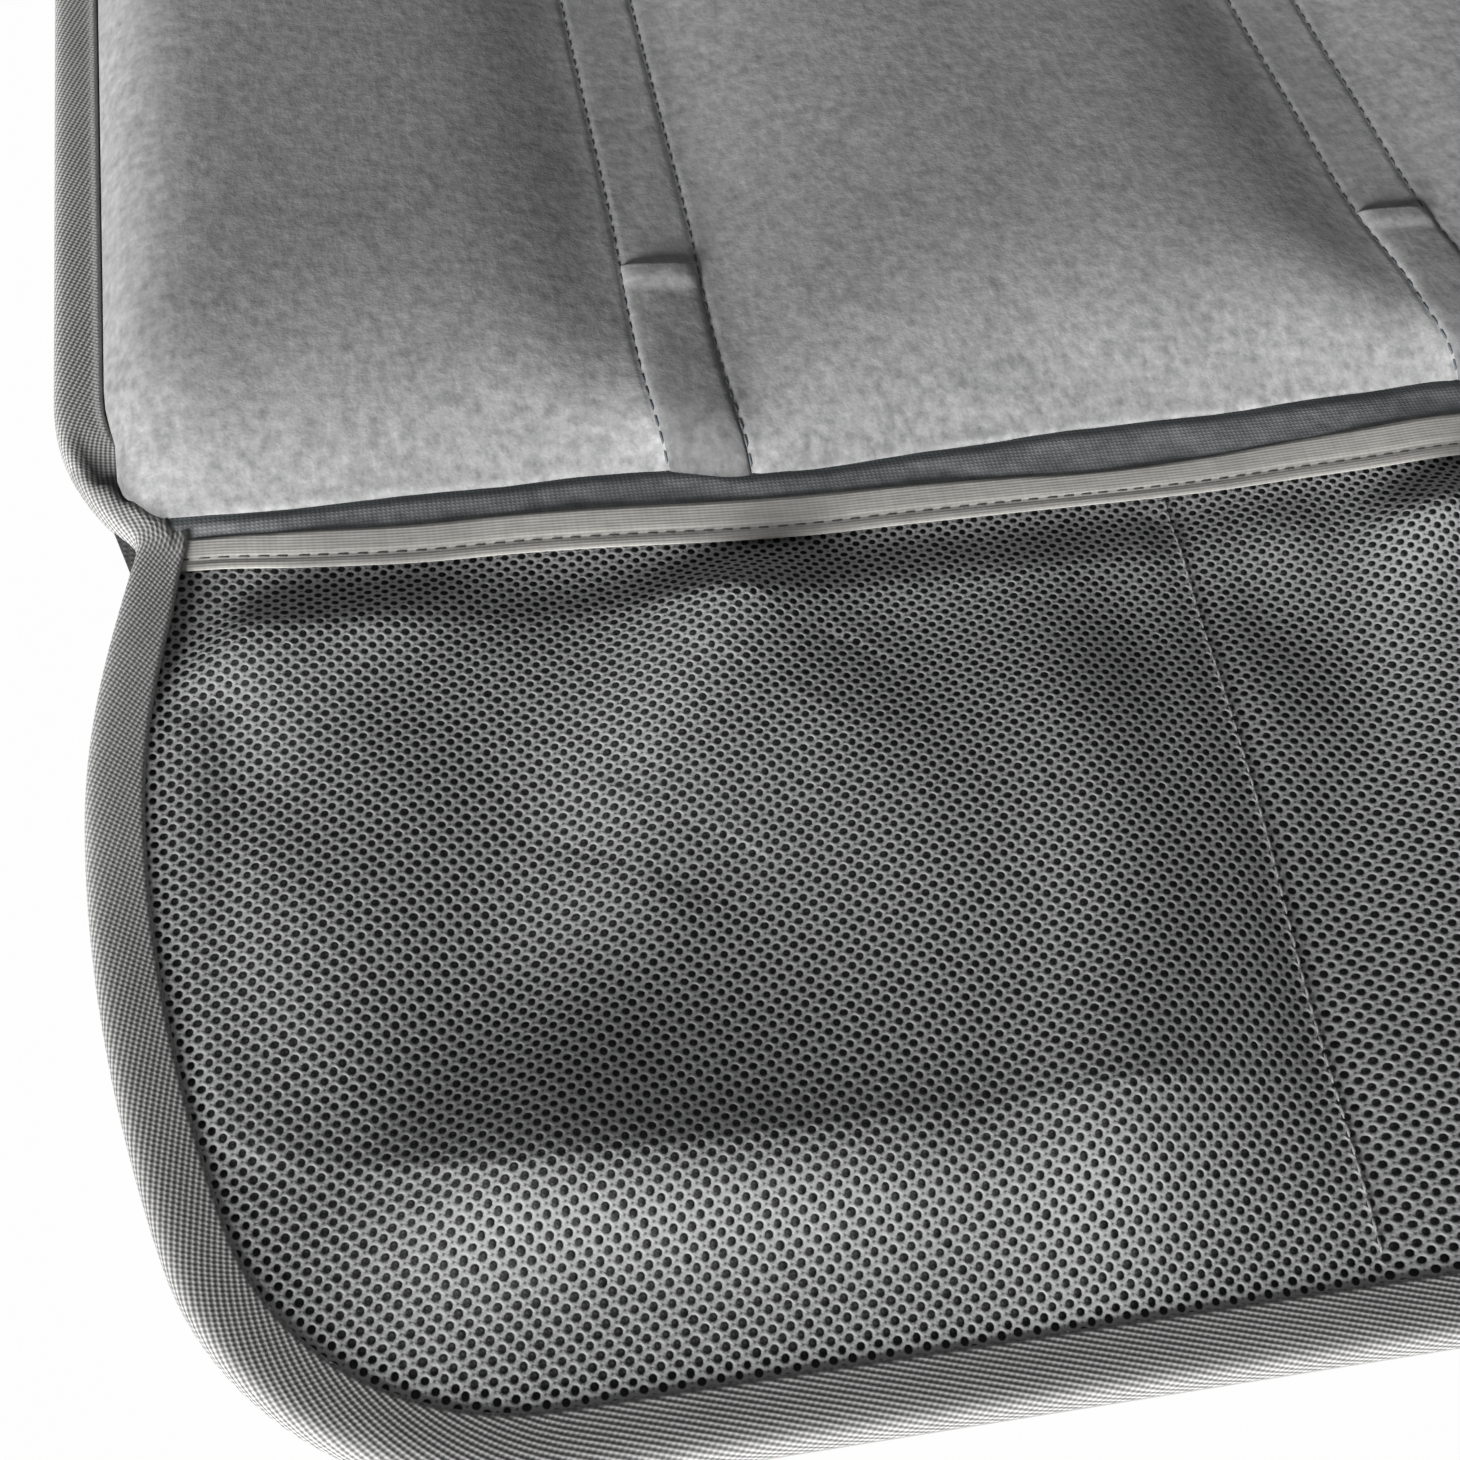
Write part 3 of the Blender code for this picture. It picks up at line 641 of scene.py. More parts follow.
def net_material():
    """Knitted yarn: a painted highlight as a light line round each hole, painted shade
    darkening the yarn towards each hole's edge, grey knots between with a dark eye.

    ring runs from 0 at a hole's edge to 1 at its cell's edge, and knot is 1 on the
    lines towards the cell's four corners.
    """
    s = Shader("netting", grey(0.20), 0.75)
    ring, knot = s.value("ring"), s.value("knot")
    centre = s.blend(knot, 0.95, YARN_HIGHLIGHT_AT_KNOT)
    width = s.blend(knot, 0.62, 0.30)
    # painted highlight along the yarn's crown round each hole
    line = s.peak(ring, centre, width)
    eye = s.math("MULTIPLY", s.peak(ring, 1.0, 0.20), s.peak(knot, 1.0, 0.22))
    # painted shade on the yarn near each hole's edge
    body = s.math("MINIMUM", s.math("MULTIPLY", ring, 3.0), 1.0)
    yarn = s.noise(0.00035, 2.0)
    cloud = s.noise(0.0016, 3.0)
    shade = s.total((line, 0.62), (body, 0.32), (eye, -0.45), (yarn, 0.24), (cloud, 0.16))
    dark, middle, light = grey(0.075), grey(0.185), grey(0.340, -0.01)
    s.colour(s.ramp(shade, (0.15, dark), (0.55, middle), (0.95, light)))
    s.roughness(yarn, 0.62, 0.85)
    s.bump((line, 0.00003), (yarn, 0.00003))
    return s.material


def thread_material(name, level, tint=0.0):
    """Twisted sewing thread."""
    s = Shader(name, grey(level, tint), 0.60)
    twist = s.noise(0.0003, 2.0)
    dark, light = grey(level * 0.6, tint), grey(level * 1.35, tint)
    s.colour(s.ramp(twist, (0.2, dark), (0.8, light)))
    s.roughness(twist, 0.5, 0.75)
    s.bump((twist, 0.00004))
    return s.material


STUD_PITCH = 0.0060


def grip_material():
    """Rubbery sheet with rows of small round studs."""
    s = Shader("grip_sheet", grey(0.03), 0.55)
    x, y = s.weave_axes()
    stud = s.math("MULTIPLY", s.wave(x, STUD_PITCH), s.wave(y, STUD_PITCH))
    grain = s.noise(0.0008, 3.0)
    s.colour(s.ramp(stud, (0.35, grey(0.020)), (0.65, grey(0.050))))
    s.roughness(grain, 0.45, 0.70)
    s.bump((s.math("MINIMUM", stud, 0.7), 0.0008), (grain, 0.00008))
    return s.material


def elastic_material():
    """Elastic band with close lengthwise ribs."""
    s = Shader("elastic_strap", grey(0.045), 0.80)
    along, across = s.weave_axes()
    rib = s.wave(across, 0.0016)
    pick = s.wave(along, 0.0011)
    shade = s.total((rib, 0.6), (pick, 0.25))
    s.colour(s.ramp(shade, (0.1, grey(0.025)), (0.9, grey(0.075))))
    s.roughness(pick, 0.72, 0.88)
    s.bump((rib, 0.00030), (pick, 0.00010))
    return s.material


# Binding


BINDING_WIDTH = 0.0095  # beside the panels, its inner edge under their cloth
BINDING_THICK = 0.0009
BINDING_WAVE = 0.00008
FLAP_NARROWING = 0.125  # of the tape round the flap, as a share of its width
TWILL_PITCH = 0.00088
TWILL_SLANT = 0.385
TWILL_BEAD = 0.00066
TWILL_CROSS = 0.61  # turn of the beads' rows
SELVEDGE_FROM = 0.0083  # from the mat's edge to the finer weave
SELVEDGE_BLEND = 0.0014
LIP_AT = 0.0063  # raised inner strip of the tape beside the panels
LIP_WIDTH = 0.0014
LIP_RISE = 0.00028
LIP_BLEND = 0.0004
GROOVE_AT = 0.0081  # seam between that strip and the panel, sunk and darkened by painted shade
GROOVE_HALF = 0.00038
GROOVE_DEPTH = 0.0010
LIP_FROM = 0.0180  # where the strip starts, behind the notch
LIP_RUN = 0.0100
TUCK_LINE = (-0.0055, 0.0120, -0.95)  # across, out and slope, from the notch
TUCK_SHADE = 0.0120
TUCK_FADE = 0.0050
TUCK_REACH = (-0.0100, 0.0400)  # in front of the notch and behind it
TUCK_DIP = 0.0009
TUCK_RISE = 0.0006
# painted shade in the groove and above the tuck line
TUCK_AND_GROOVE_PAINTED_SHADE = 0.85
LIFTED_EDGE_PAINTED_SHADE = 0.38  # painted shade on the tape's outer edge beside the tuck
LIFTED_EDGE_TO = 0.0160
LIFTED_PAINTED_LIGHT = 0.15
STRIP_PALER = 0.60
BINDING_SHADE_FROM = -0.0520  # where painted shade starts to darken the flap's tape, towards its front
BINDING_SHADE_REACH = 0.0350
BINDING_FRONT_PAINTED_SHADE = 0.14
BINDING_LIGHT_FROM = -0.0100  # and where painted light makes it palest
BINDING_LIGHT_RUN = 0.0100
BINDING_PAINTED_LIGHT = 0.12
NOTCH_NARROWING = 0.07
NOTCH_NARROW_AT = -0.0040
NOTCH_NARROW_RUN = 0.0070


TAPE_TOP_STATIONS = (
    0.0050, 0.0060, 0.0065, 0.0070, 0.0074, 0.0077, 0.0079, 0.0081, 0.0083, 0.0086,
)
INNER_FACE = slice(1, -1, 4)  # stations that the inner face has too
TAPE_EDGE_FROM = 0.0014  # the tape's rounded outer edge
TAPE_EDGE_RUN = 0.0020


def binding_section():
    """(inward, z) pairs of the tape's outer face, from under the mat to its top."""
    top = BINDING_TOP
    side = [
        (BINDING_WIDTH, 0.0), (0.0062, 0.0), (0.0032, 0.0), (0.0014, 0.0002),
        (0.0004, 0.0010), (0.0, 0.0024), (0.0001, 0.0038), (0.0004, top - 0.0010),
        (0.0009, top - 0.0005), (0.0018, top - 0.0002), (0.0032, top - 0.00006),
    ]
    level = [(inward, top) for inward in TAPE_TOP_STATIONS]
    rim = [(BINDING_WIDTH - 0.0002, top), (BINDING_WIDTH, top - 0.0004)]
    return np.array(side + level + rim)


def edge_binding(material):
    """The whole tape, with its strip beside the panels and its tucks at the notches."""
    outer = binding_section()
    inner = outer[INNER_FACE].copy()
    inner[:, 1] = np.clip(inner[:, 1], BINDING_THICK, BINDING_TOP - BINDING_THICK)
    inner[:, 0] = np.maximum(inner[:, 0], BINDING_THICK)
    ring = np.concatenate([outer, inner[::-1]])
    count = len(OUTLINE)
    travel = travelled(OUTLINE)
    behind = OUTLINE[:, 1] - NOTCH_Y
    near_notch = (behind - NOTCH_NARROW_AT) / NOTCH_NARROW_RUN
    narrow = 1 - FLAP_NARROWING * (1 - smooth((behind - LIP_FROM) / LIP_RUN))
    narrow = narrow - NOTCH_NARROWING * np.exp(-(near_notch**2))
    inward = ring[None, :, 0] * narrow[:, None]
    rise = np.repeat(ring[None, :, 1], count, axis=0)
    width = travelled(outer)
    across = np.concatenate([width, width[INNER_FACE][::-1]])
    across = np.repeat(across[None], count, axis=0)
    x = OUTLINE[:, 0, None] + INWARD[:, 0, None] * inward
    y = OUTLINE[:, 1, None] + INWARD[:, 1, None] * inward
    along = NOTCH_X - np.abs(x)
    out = y - NOTCH_Y
    on_top = (rise > BINDING_TOP * 0.7) & (inward > TAPE_EDGE_RUN)
    rise = rise + ripple(x, y, 0.030, SEED) * BINDING_WAVE * on_top
    panel_side = smooth((out - LIP_FROM) / LIP_RUN)
    strip = clamp((inward - LIP_AT) / LIP_WIDTH) * (inward < GROOVE_AT) * panel_side
    groove = np.exp(-(((inward - GROOVE_AT) / GROOVE_HALF) ** 2)) * panel_side
    tuck_x, tuck_y, tuck_slope = TUCK_LINE
    above = out - tuck_y - tuck_slope * (along - tuck_x)
    beside = (out > TUCK_REACH[0]) & (out < TUCK_REACH[1])
    tuck_and_painted_shade = (1 - smooth(above / TUCK_SHADE)) * (above > 0) * beside
    lift_and_painted_light = np.exp(np.minimum(above, 0) / TUCK_FADE) * (above <= 0) * beside
    outer_share = smooth((inward - TAPE_EDGE_FROM) / TAPE_EDGE_RUN)
    rise = rise + on_top * (
        strip * LIP_RISE - groove * GROOVE_DEPTH
        + outer_share * (lift_and_painted_light * TUCK_RISE - tuck_and_painted_shade * TUCK_DIP)
    )
    points = np.stack([x, y, np.maximum(rise, 0.0)], axis=-1)
    faces = grid_faces(count, len(ring), wrap_rows=True, wrap_columns=True)
    uv = np.stack([np.repeat(travel[:, None], len(ring), axis=1), across], axis=-1)
    selvedge = smooth((ring[None, :, 0] - SELVEDGE_FROM) / SELVEDGE_BLEND)
    selvedge = selvedge * (1 - panel_side)
    selvedge = np.maximum(selvedge, smooth((inward - LIP_AT) / LIP_BLEND) * panel_side)
    # painted shade in the groove, above the tuck line and on the lifted outer edge
    binding_painted_shade = TUCK_AND_GROOVE_PAINTED_SHADE * np.maximum(groove, tuck_and_painted_shade * outer_share)
    at_edge = lift_and_painted_light * (1 - outer_share) * (out < LIFTED_EDGE_TO)
    binding_painted_shade = np.maximum(binding_painted_shade, LIFTED_EDGE_PAINTED_SHADE * at_edge)
    # painted shade on the flap's tape, growing towards its front
    wear_and_painted_shade = smooth((BINDING_SHADE_FROM - out) / BINDING_SHADE_REACH)
    binding_painted_shade = np.maximum(binding_painted_shade, BINDING_FRONT_PAINTED_SHADE * wear_and_painted_shade)
    # painted light on the lifted part below each tuck and towards the notches, and a paler
    # strip beside the panels
    light = np.maximum(LIFTED_PAINTED_LIGHT * lift_and_painted_light * outer_share, STRIP_PALER * strip)
    light = np.maximum(light, BINDING_PAINTED_LIGHT * smooth((BINDING_LIGHT_FROM - out) / BINDING_LIGHT_RUN) * (1 - wear_and_painted_shade))
    values = {"selvedge": selvedge, "binding_painted_shade": binding_painted_shade, "lift_and_painted_light": light}
    obj = mesh_object("edge_binding_tape", points, faces, material, uv, values)
    flip_if_inside_out(obj)
    describe(obj, "binding_twill", "edge_binding")


# Front seam, ribbon and netting


SEAM_SHIFT = (
    (0.000, -0.0054), (0.009, -0.0055), (0.024, -0.0054), (0.040, -0.0047),
    (0.055, -0.0045), (0.069, -0.0038), (0.081, -0.0039), (0.093, -0.0062),
    (0.102, -0.0063), (0.117, -0.0052), (0.132, -0.0039), (0.145, -0.0027),
    (0.180, -0.0010), (0.197, 0.0006), (0.210, 0.0016), (0.2275, 0.0021),
)
RIBBON_SHIFT = (
    (0.000, 0.0022), (0.009, 0.0019), (0.024, 0.0001), (0.040, -0.0010),
    (0.055, -0.0011), (0.069, -0.0016), (0.086, -0.0022), (0.101, -0.0025),
    (0.117, -0.0021), (0.132, -0.0016), (0.165, -0.0007), (0.181, 0.0005),
    (0.197, 0.0013), (0.206, 0.0020), (0.2275, 0.0024),
)
RIBBON_LEVEL = (
    (0.000, 0.0050), (0.008, 0.0052), (0.013, 0.0054), (0.022, 0.0056),
    (0.060, 0.0059), (0.086, 0.0059), (0.135, 0.0058), (0.160, 0.0057),
    (0.206, 0.0061), (0.2275, 0.0061),
)
RIBBON_SPREAD = (
    (0.000, 0.80), (0.009, 0.82), (0.024, 0.95), (0.040, 1.00),
    (0.130, 1.00), (0.150, 0.88), (0.165, 0.95), (0.185, 1.08),
    (0.206, 1.18), (0.2275, 1.18),
)
RIBBON_WIDTH = 0.0072
RIBBON_FRONT = -0.0092
RIBBON_END = 0.0052  # its ends lie under the binding
RIBBON_STATIONS = 400
RIBBON_WAVE = 0.0003
RIBBON_TILT = 0.10  # of its rear edge, upwards
RIBBON_SEAM = (0.0022, 0.00020)  # from its front edge, and over its middle
RIBBON_STITCH = (0.0029, 0.80, 0.00042)  # pitch, share and thickness of a seam's thread
POCKET_STITCH = (0.0026, 0.80, 0.00045)
POCKET_SEAM_RISE = 0.00030
SEAM_FADE = 0.060


def from_notch(x):
    """Distance from the nearer notch line, inwards."""
    return NOTCH_X - np.abs(x)


def seam_shift(x, y):
    """How far the seat's front part is pulled out of its straight line at rest."""
    fade = 1 - smooth((y - NOTCH_Y - SEAT_FRONT) / SEAM_FADE)
    return curve_value(SEAM_SHIFT, from_notch(x)) * fade


def ribbon_middle(x):
    """y and z of the ribbon's middle line."""
    along = from_notch(x)
    y = NOTCH_Y + RIBBON_FRONT + RIBBON_WIDTH / 2 + curve_value(RIBBON_SHIFT, along)
    return y, curve_value(RIBBON_LEVEL, along)


NET_ACROSS = 0.00246  # between holes along a row
NET_ALONG = 0.00237
HOLE_ACROSS = 0.00053  # half the width of a hole
HOLE_ALONG = 0.00054
HOLE_UNEVEN = 0.07  # of a hole's size
HOLE_OFF = 0.00005  # of its middle
CROWN_RISE = 0.00007
HOLE_SINK = 0.00005
NODE_RISE = 0.00003
YARN_HIGHLIGHT_AT_KNOT = 0.34  # where the painted highlight line lies between a hole and a knot
DIVIDER_TOP = 0.0680
DIVIDER_BOTTOM = 0.0835
DIVIDER_DIP = 0.0004
DIVIDER_RUN = 0.0040
NET_LEVEL = 0.0060  # of the loose netting between its folds
NET_UNDER_RIBBON = 0.0017  # from the ribbon's level down to the netting's edge
NET_AT_BINDING = 0.0053
NET_BESIDE = 0.0053  # least height beside the flap's side tapes
NET_BESIDE_SLOPE = 0.05
NET_BESIDE_FROM = -0.0280
NET_BESIDE_FADE = 0.0100
NET_BESIDE_REACH = 0.0060  # from the tape to where that least height fades
NET_BESIDE_RUN = 0.0120
NET_BESIDE_EASE = 0.0005
NET_HELD = 0.0004  # flat netting next to the tape
NET_CLEAR = 0.0006  # least gap over the flat lining
NET_TOP_SHARE = 0.6  # of the ribbon's width that the netting reaches under it
NET_FRONT_INSET = 0.0040
NET_SIDE_INSET = 0.0045
NET_SHIFT_FADE = 0.055
NET_WAVE = 0.00008  # of its cells, out of their even rows
FOLDS_FROM = 0.0010  # under the ribbon's front edge
VALLEY_DEPTH = 0.0018
RIBBON_RUN = 0.014
BINDING_RUN = 0.0040
FRONT_EDGE_RUN = 0.0240  # more of that run along the flap's front edge
FRONT_EDGE_FROM = -0.1020
FRONT_EDGE_REACH = 0.0120
FRONT_EDGE_LEAD = 0.35
VALLEY_RUN = 0.0075  # more of that run in the corner beside the ribbon
VALLEY_AT = -0.0150
VALLEY_HALF = 0.0130
UNDER_RIBBON_RUN = 0.0150
LAMP_WAY = (-0.574, -0.819)  # the level direction towards the main lamp

# Bulges and hollows of the loose netting, from the left notch: along, out, half
# length and half width in millimetres, turn in degrees, height in millimetres
BULGES = (
    (92, -13, 30, 7.0, 57, 4.20),
    (207, -10, 16, 5.2, 51, 4.63),
    (13, -25, 13, 4.5, 42, 1.70),
    (109, -69, 30, 17.5, 107, 2.40),
    (44, -84, 22, 7.6, 57, -2.39),
    (47, -6, 30, 5.2, 45, 2.10),
    (82, -118, 30, 20.0, 10, 1.70),
    (52, -112, 11, 22.0, 89, 1.80),
    (3, -58, 30, 5.1, 80, -1.96),
    (161, -83, 30, 5.8, 61, -1.90),
    (43, -112, 7, 21.0, 145, 1.89),
    (65, -118, 30, 5.9, 175, 1.50),
    (121, -116, 30, 7.2, 55, 1.72),
    (168, -32, 13, 8.1, 98, -1.67),
    (103, -110, 20, 22.0, 155, 1.56),
    (28, -60, 24, 9.9, 58, 1.53),
    (130, -57, 30, 8.5, 85, 1.44),
    (115, -125, 16, 6.7, 74, 1.34),
    (63, -15, 6, 13.0, 106, -1.25),
    (98, -24, 26, 5.5, 51, -1.22),
    (109, -99, 22, 5.8, 60, -1.19),
    (185, -22, 30, 5.5, 78, -1.15),
    (143, -64, 24, 13.3, 83, 0.98),
    (6, -77, 30, 5.9, 102, -0.98),
    (-2, -37, 27, 7.7, 142, -0.93),
    (146, -36, 8, 10.2, 158, -0.87),
    (8, -135, 22, 6.0, 78, -0.86),
    (9, -116, 21, 6.7, 40, -0.85),
    (121, -26, 19, 10.5, 1, -0.59),
    (108, -37, 13, 6.6, 92, -0.59),
    (48, -54, 30, 9.4, 124, -0.52),
)
# The right part of the netting, past what the photo shows, folds much alike
FAR_SIDE = (470, 0.92, -7, 172, 0.85)  # along, share of out, shift, turn, share
CREASE = (
    (113, -10), (107, -17), (101, -23), (95, -29), (88, -40),
    (80, -50), (74, -57), (70, -61), (64, -70),
)
CREASE_RISE = 1.4
CREASE_FACING = 14.0
CREASE_BEHIND = 2.6


def crease_height(along, out):
    """One sharp fold: a long slope towards the lamp and a short one behind it."""
    best = np.full(np.shape(along), 1e6)
    side = np.zeros(np.shape(along))
    for (ax, ay), (bx, by) in zip(CREASE, CREASE[1:]):
        dx, dy = bx - ax, by - ay
        t = clamp(((along - ax) * dx + (out - ay) * dy) / (dx * dx + dy * dy))
        off_x = along - ax - dx * t
        off_y = out - ay - dy * t
        far = np.hypot(off_x, off_y)
        nearer = far < best
        best = np.where(nearer, far, best)
        side = np.where(nearer, -off_x * LAMP_WAY[0] - off_y * LAMP_WAY[1], side)
    lean = np.clip(1.3 * side / np.maximum(best, 1.0), -1, 1)
    width = CREASE_FACING + (CREASE_BEHIND - CREASE_FACING) * (0.5 + 0.5 * lean)
    return CREASE_RISE * np.exp(-((best / width) ** 2))


def fold_height(x, y):
    """Height of the netting's folds over its level, in metres."""
    along = (x + NOTCH_X) * 1000
    out = (y - NOTCH_Y) * 1000
    far_along, share, shift, far_turn, weaker = FAR_SIDE
    total = crease_height(along, out)
    for u, v, length, width, turn, rise in BULGES:
        for twin in (False, True):
            if twin:
                u, v = far_along - u, v * share + shift
                turn, rise = far_turn - turn, rise * weaker
            c, s = math.cos(math.radians(turn)), math.sin(math.radians(turn))
            far = (along - u) * c + (out - v) * s
            off = (out - v) * c - (along - u) * s
            total += rise * np.exp(-0.5 * ((far / length) ** 2 + (off / width) ** 2))
    return total / 1000


def divider_x(y):
    share = (NOTCH_Y - y) / FLAP_DEPTH
    return DIVIDER_TOP + (DIVIDER_BOTTOM - DIVIDER_TOP) * share


def net_height(x, y, inside):
    """z of the netting; inside is each point's distance from the mat's edge."""
    line, level = ribbon_middle(x)
    front = line - RIBBON_WIDTH / 2
    at_ribbon = level - NET_UNDER_RIBBON
    loose = at_ribbon + (NET_LEVEL - at_ribbon) * smooth((front - y) / RIBBON_RUN)
    loose = loose + fold_height(x, y) * smooth((front + FOLDS_FROM - y) / UNDER_RIBBON_RUN)
    from_seam = (np.abs(x) - divider_x(y)) / DIVIDER_RUN
    loose = loose - DIVIDER_DIP * np.exp(-(from_seam**2))
    out = y - NOTCH_Y
    tape = BINDING_WIDTH * (1 - FLAP_NARROWING)
    by = inside - tape
    beside = smooth((NET_BESIDE_FROM - out) / NET_BESIDE_FADE)
    beside = beside * (1 - smooth((by - NET_BESIDE_REACH) / NET_BESIDE_RUN))
    short = NET_BESIDE + NET_BESIDE_SLOPE * by - loose
    loose = loose + beside * 0.5 * (short + np.hypot(short, NET_BESIDE_EASE))
    valley = np.exp(-(((out - VALLEY_AT) / VALLEY_HALF) ** 2))
    run = BINDING_RUN + VALLEY_RUN * valley
    at_front = smooth((FRONT_EDGE_FROM - out) / FRONT_EDGE_REACH)
    run = run + FRONT_EDGE_RUN * at_front
    share = clamp((by - NET_HELD) / run)
    even = share * (1 + FRONT_EDGE_LEAD * (1 - share))
    free = smooth(share) + (even - smooth(share)) * at_front
    edge = NET_AT_BINDING - VALLEY_DEPTH * valley
    z = edge + (loose - edge) * free
    return np.maximum(z, LINING_TOP + NET_CLEAR)


def net_lean(x, y):
    """How far the netting's columns lean out, in step with the lengthwise seams."""
    lean = (DIVIDER_BOTTOM - DIVIDER_TOP) * (NOTCH_Y - y) / FLAP_DEPTH
    middle = np.abs(x) / DIVIDER_TOP
    outer = from_notch(x) / (NOTCH_X - DIVIDER_TOP)
    return np.sign(x) * lean * np.minimum(middle, outer)


def net_shift(x, y):
    """The netting's rows follow the ribbon and fade to straight."""
    fade = 1 - smooth((NOTCH_Y + RIBBON_FRONT - y) / NET_SHIFT_FADE)
    return curve_value(RIBBON_SHIFT, from_notch(x)) * fade


# Points round a cell, in thirds of its sides
EDGE_KEYS = (
    (3, 3), (3, 2), (3, 1), (3, 0), (2, 0), (1, 0),
    (0, 0), (0, 1), (0, 2), (0, 3), (1, 3), (2, 3),
)


def net_bay(name, low, high, material):
    """The netting between two of its columns, one hole to each lozenge cell."""
    # More rows of cells than the flap can hold, cut to its shape below
    reach = int((HALF_WIDTH * 2 / NET_ACROSS + FLAP_DEPTH / NET_ALONG) * 1.2)
    m, n = np.meshgrid(np.arange(-reach, reach), np.arange(-reach, reach))
    m, n = m.ravel(), n.ravel()
    cx = (m + n) * NET_ACROSS / 2
    cy = NOTCH_Y + (m - n) * NET_ALONG / 2
    top = NOTCH_Y + RIBBON_FRONT + RIBBON_WIDTH * NET_TOP_SHARE
    keep = (cy < top) & (cy > BOTTOM_Y + NET_FRONT_INSET)
    keep &= (cx > low) & (cx <= high)
    keep &= np.abs(cx + net_lean(cx, cy)) < half_width_at(cy, NET_SIDE_INSET)
    m, n, cx, cy = m[keep], n[keep], cx[keep], cy[keep]
    count = len(m)
    keys = np.array(EDGE_KEYS)
    ku = m[:, None] * 3 + keys[:, 0]
    kv = n[:, None] * 3 + keys[:, 1]
    code = (ku + 4 * reach) * 100000 + (kv + 4 * reach)
    unique, first, inverse = np.unique(
        code.ravel(), return_index=True, return_inverse=True
    )
    ku, kv = ku.ravel()[first], kv.ravel()[first]
    mu, nu = ku / 3 - 0.5, kv / 3 - 0.5
    px = (mu + nu) * NET_ACROSS / 2
    py = NOTCH_Y + (mu - nu) * NET_ALONG / 2
    is_node = (ku % 3 == 0) & (kv % 3 == 0)
    corners = len(EDGE_KEYS)
    angles = np.arange(corners) / corners * 2 * math.pi
    uneven = np.random.default_rng(SEED + 9)
    size = 1 + HOLE_UNEVEN * uneven.normal(size=(3, count, 1))
    off = HOLE_OFF * uneven.normal(size=(2, count, 1))
    hx = (cx[:, None] + off[0] + HOLE_ACROSS * size[0] * np.cos(angles)).ravel()
    hy = (cy[:, None] + off[1] + HOLE_ALONG * size[1] * np.sin(angles)).ravel()
    x = np.concatenate([px, hx])
    y = np.concatenate([py, hy])
    x = x + ripple(x, y, 0.007, SEED + 1) * NET_WAVE
    y = y + ripple(x, y, 0.009, SEED + 2) * NET_WAVE
    x, y = x + net_lean(x, y), y + net_shift(x, y)
    inside = edge_distance(x, y)
    crown = np.where(is_node, NODE_RISE, CROWN_RISE)
    lift = np.concatenate([crown, np.full(len(hx), -HOLE_SINK)])
    z = net_height(x, y, inside) + lift
    ring = np.concatenate([np.ones(len(px)), np.zeros(len(hx))])
    corner = np.tile(np.arange(corners) % 3 == 0, count)
    knot = np.concatenate([is_node, corner]).astype(float)
    shared = inverse.reshape(count, corners)
    own = len(unique) + np.arange(count * corners).reshape(count, corners)
    quads = [shared, np.roll(shared, -1, axis=1), np.roll(own, -1, axis=1), own]
    faces = np.stack(quads, axis=-1).reshape(-1, 4)
    points = np.stack([x, y, z], axis=1)
    obj = mesh_object(name, points, faces, material, None, {"ring": ring, "knot": knot})
    flip_if_inside_out(obj)
    describe(obj, "netting", "mesh_pocket")
    return obj


def netting(material):
    lines = (-HALF_WIDTH, -DIVIDER_TOP, DIVIDER_TOP, HALF_WIDTH)
    names = ("netting_left", "netting_middle", "netting_right")
    bays = [net_bay(*bay, material) for bay in zip(names, lines, lines[1:])]


def pocket_ribbon(material, thread):
    """The light ribbon on the netting's upper edge, with its stitch line."""
    limit = NOTCH_X - RIBBON_END
    x = np.linspace(-limit, limit, RIBBON_STATIONS)
    y, z = ribbon_middle(x)
    z = z + ripple(x, 0 * x, 0.05, SEED + 3) * RIBBON_WAVE
    centre = np.stack([x, y, z], axis=1)
    along = np.gradient(centre, axis=0)
    along /= np.linalg.norm(along, axis=1)[:, None]
    tilt = np.array([0.0, 1.0, RIBBON_TILT])
    sideways = np.repeat(tilt[None] / np.linalg.norm(tilt), len(x), axis=0)
    up = np.cross(along, sideways)
    half = RIBBON_WIDTH / 2
    section = np.array([
        (-half, 0.00018), (-half + 0.0001, 0.00030), (-half + 0.0003, 0.00034),
        (-half + 0.0008, 0.00036), (-half + 0.0015, 0.00034), (-half + 0.0018, 0.00022),
        (-half + 0.0026, 0.00020), (-half + 0.0029, 0.00032), (0.0, 0.00036),
        (half - 0.0008, 0.00036), (half - 0.0002, 0.00034), (half, 0.0001),
        (half - 0.0002, -0.0002), (half * 0.3, -0.0004), (-half * 0.3, -0.0004),
        (-half + 0.0004, -0.0003),
    ])
    spread = curve_value(RIBBON_SPREAD, from_notch(x))[:, None]
    across = (section[None, :, 0] + half) * spread - half
    rise = np.repeat(section[None, :, 1], len(x), axis=0)
    section = np.stack([across, rise], axis=-1)
    obj = sweep("pocket_ribbon_weave", (centre, sideways, up), section, material)
    describe(obj, "woven_ribbon", "pocket_ribbon")
    seam_at, seam_rise = RIBBON_SEAM
    line = centre + sideways * (seam_at - half) + up * seam_rise
    row = stitch_row("ribbon_stitches", line, *RIBBON_STITCH, thread, 0.00004)
    describe(row, "woven_ribbon")


def divider_stitches(thread):
    """The two lengthwise seams that part the pocket."""
    for side, name in ((-1, "left"), (1, "right")):
        y = np.linspace(NOTCH_Y + RIBBON_FRONT, BOTTOM_Y + BINDING_WIDTH, 120)
        x = side * divider_x(y)
        z = net_height(x, y, edge_distance(x, y)) + POCKET_SEAM_RISE
        line = np.stack([x, y, z], axis=1)
        row = stitch_row(f"pocket_seam_{name}", line, *POCKET_STITCH, thread)
        describe(row, "netting")


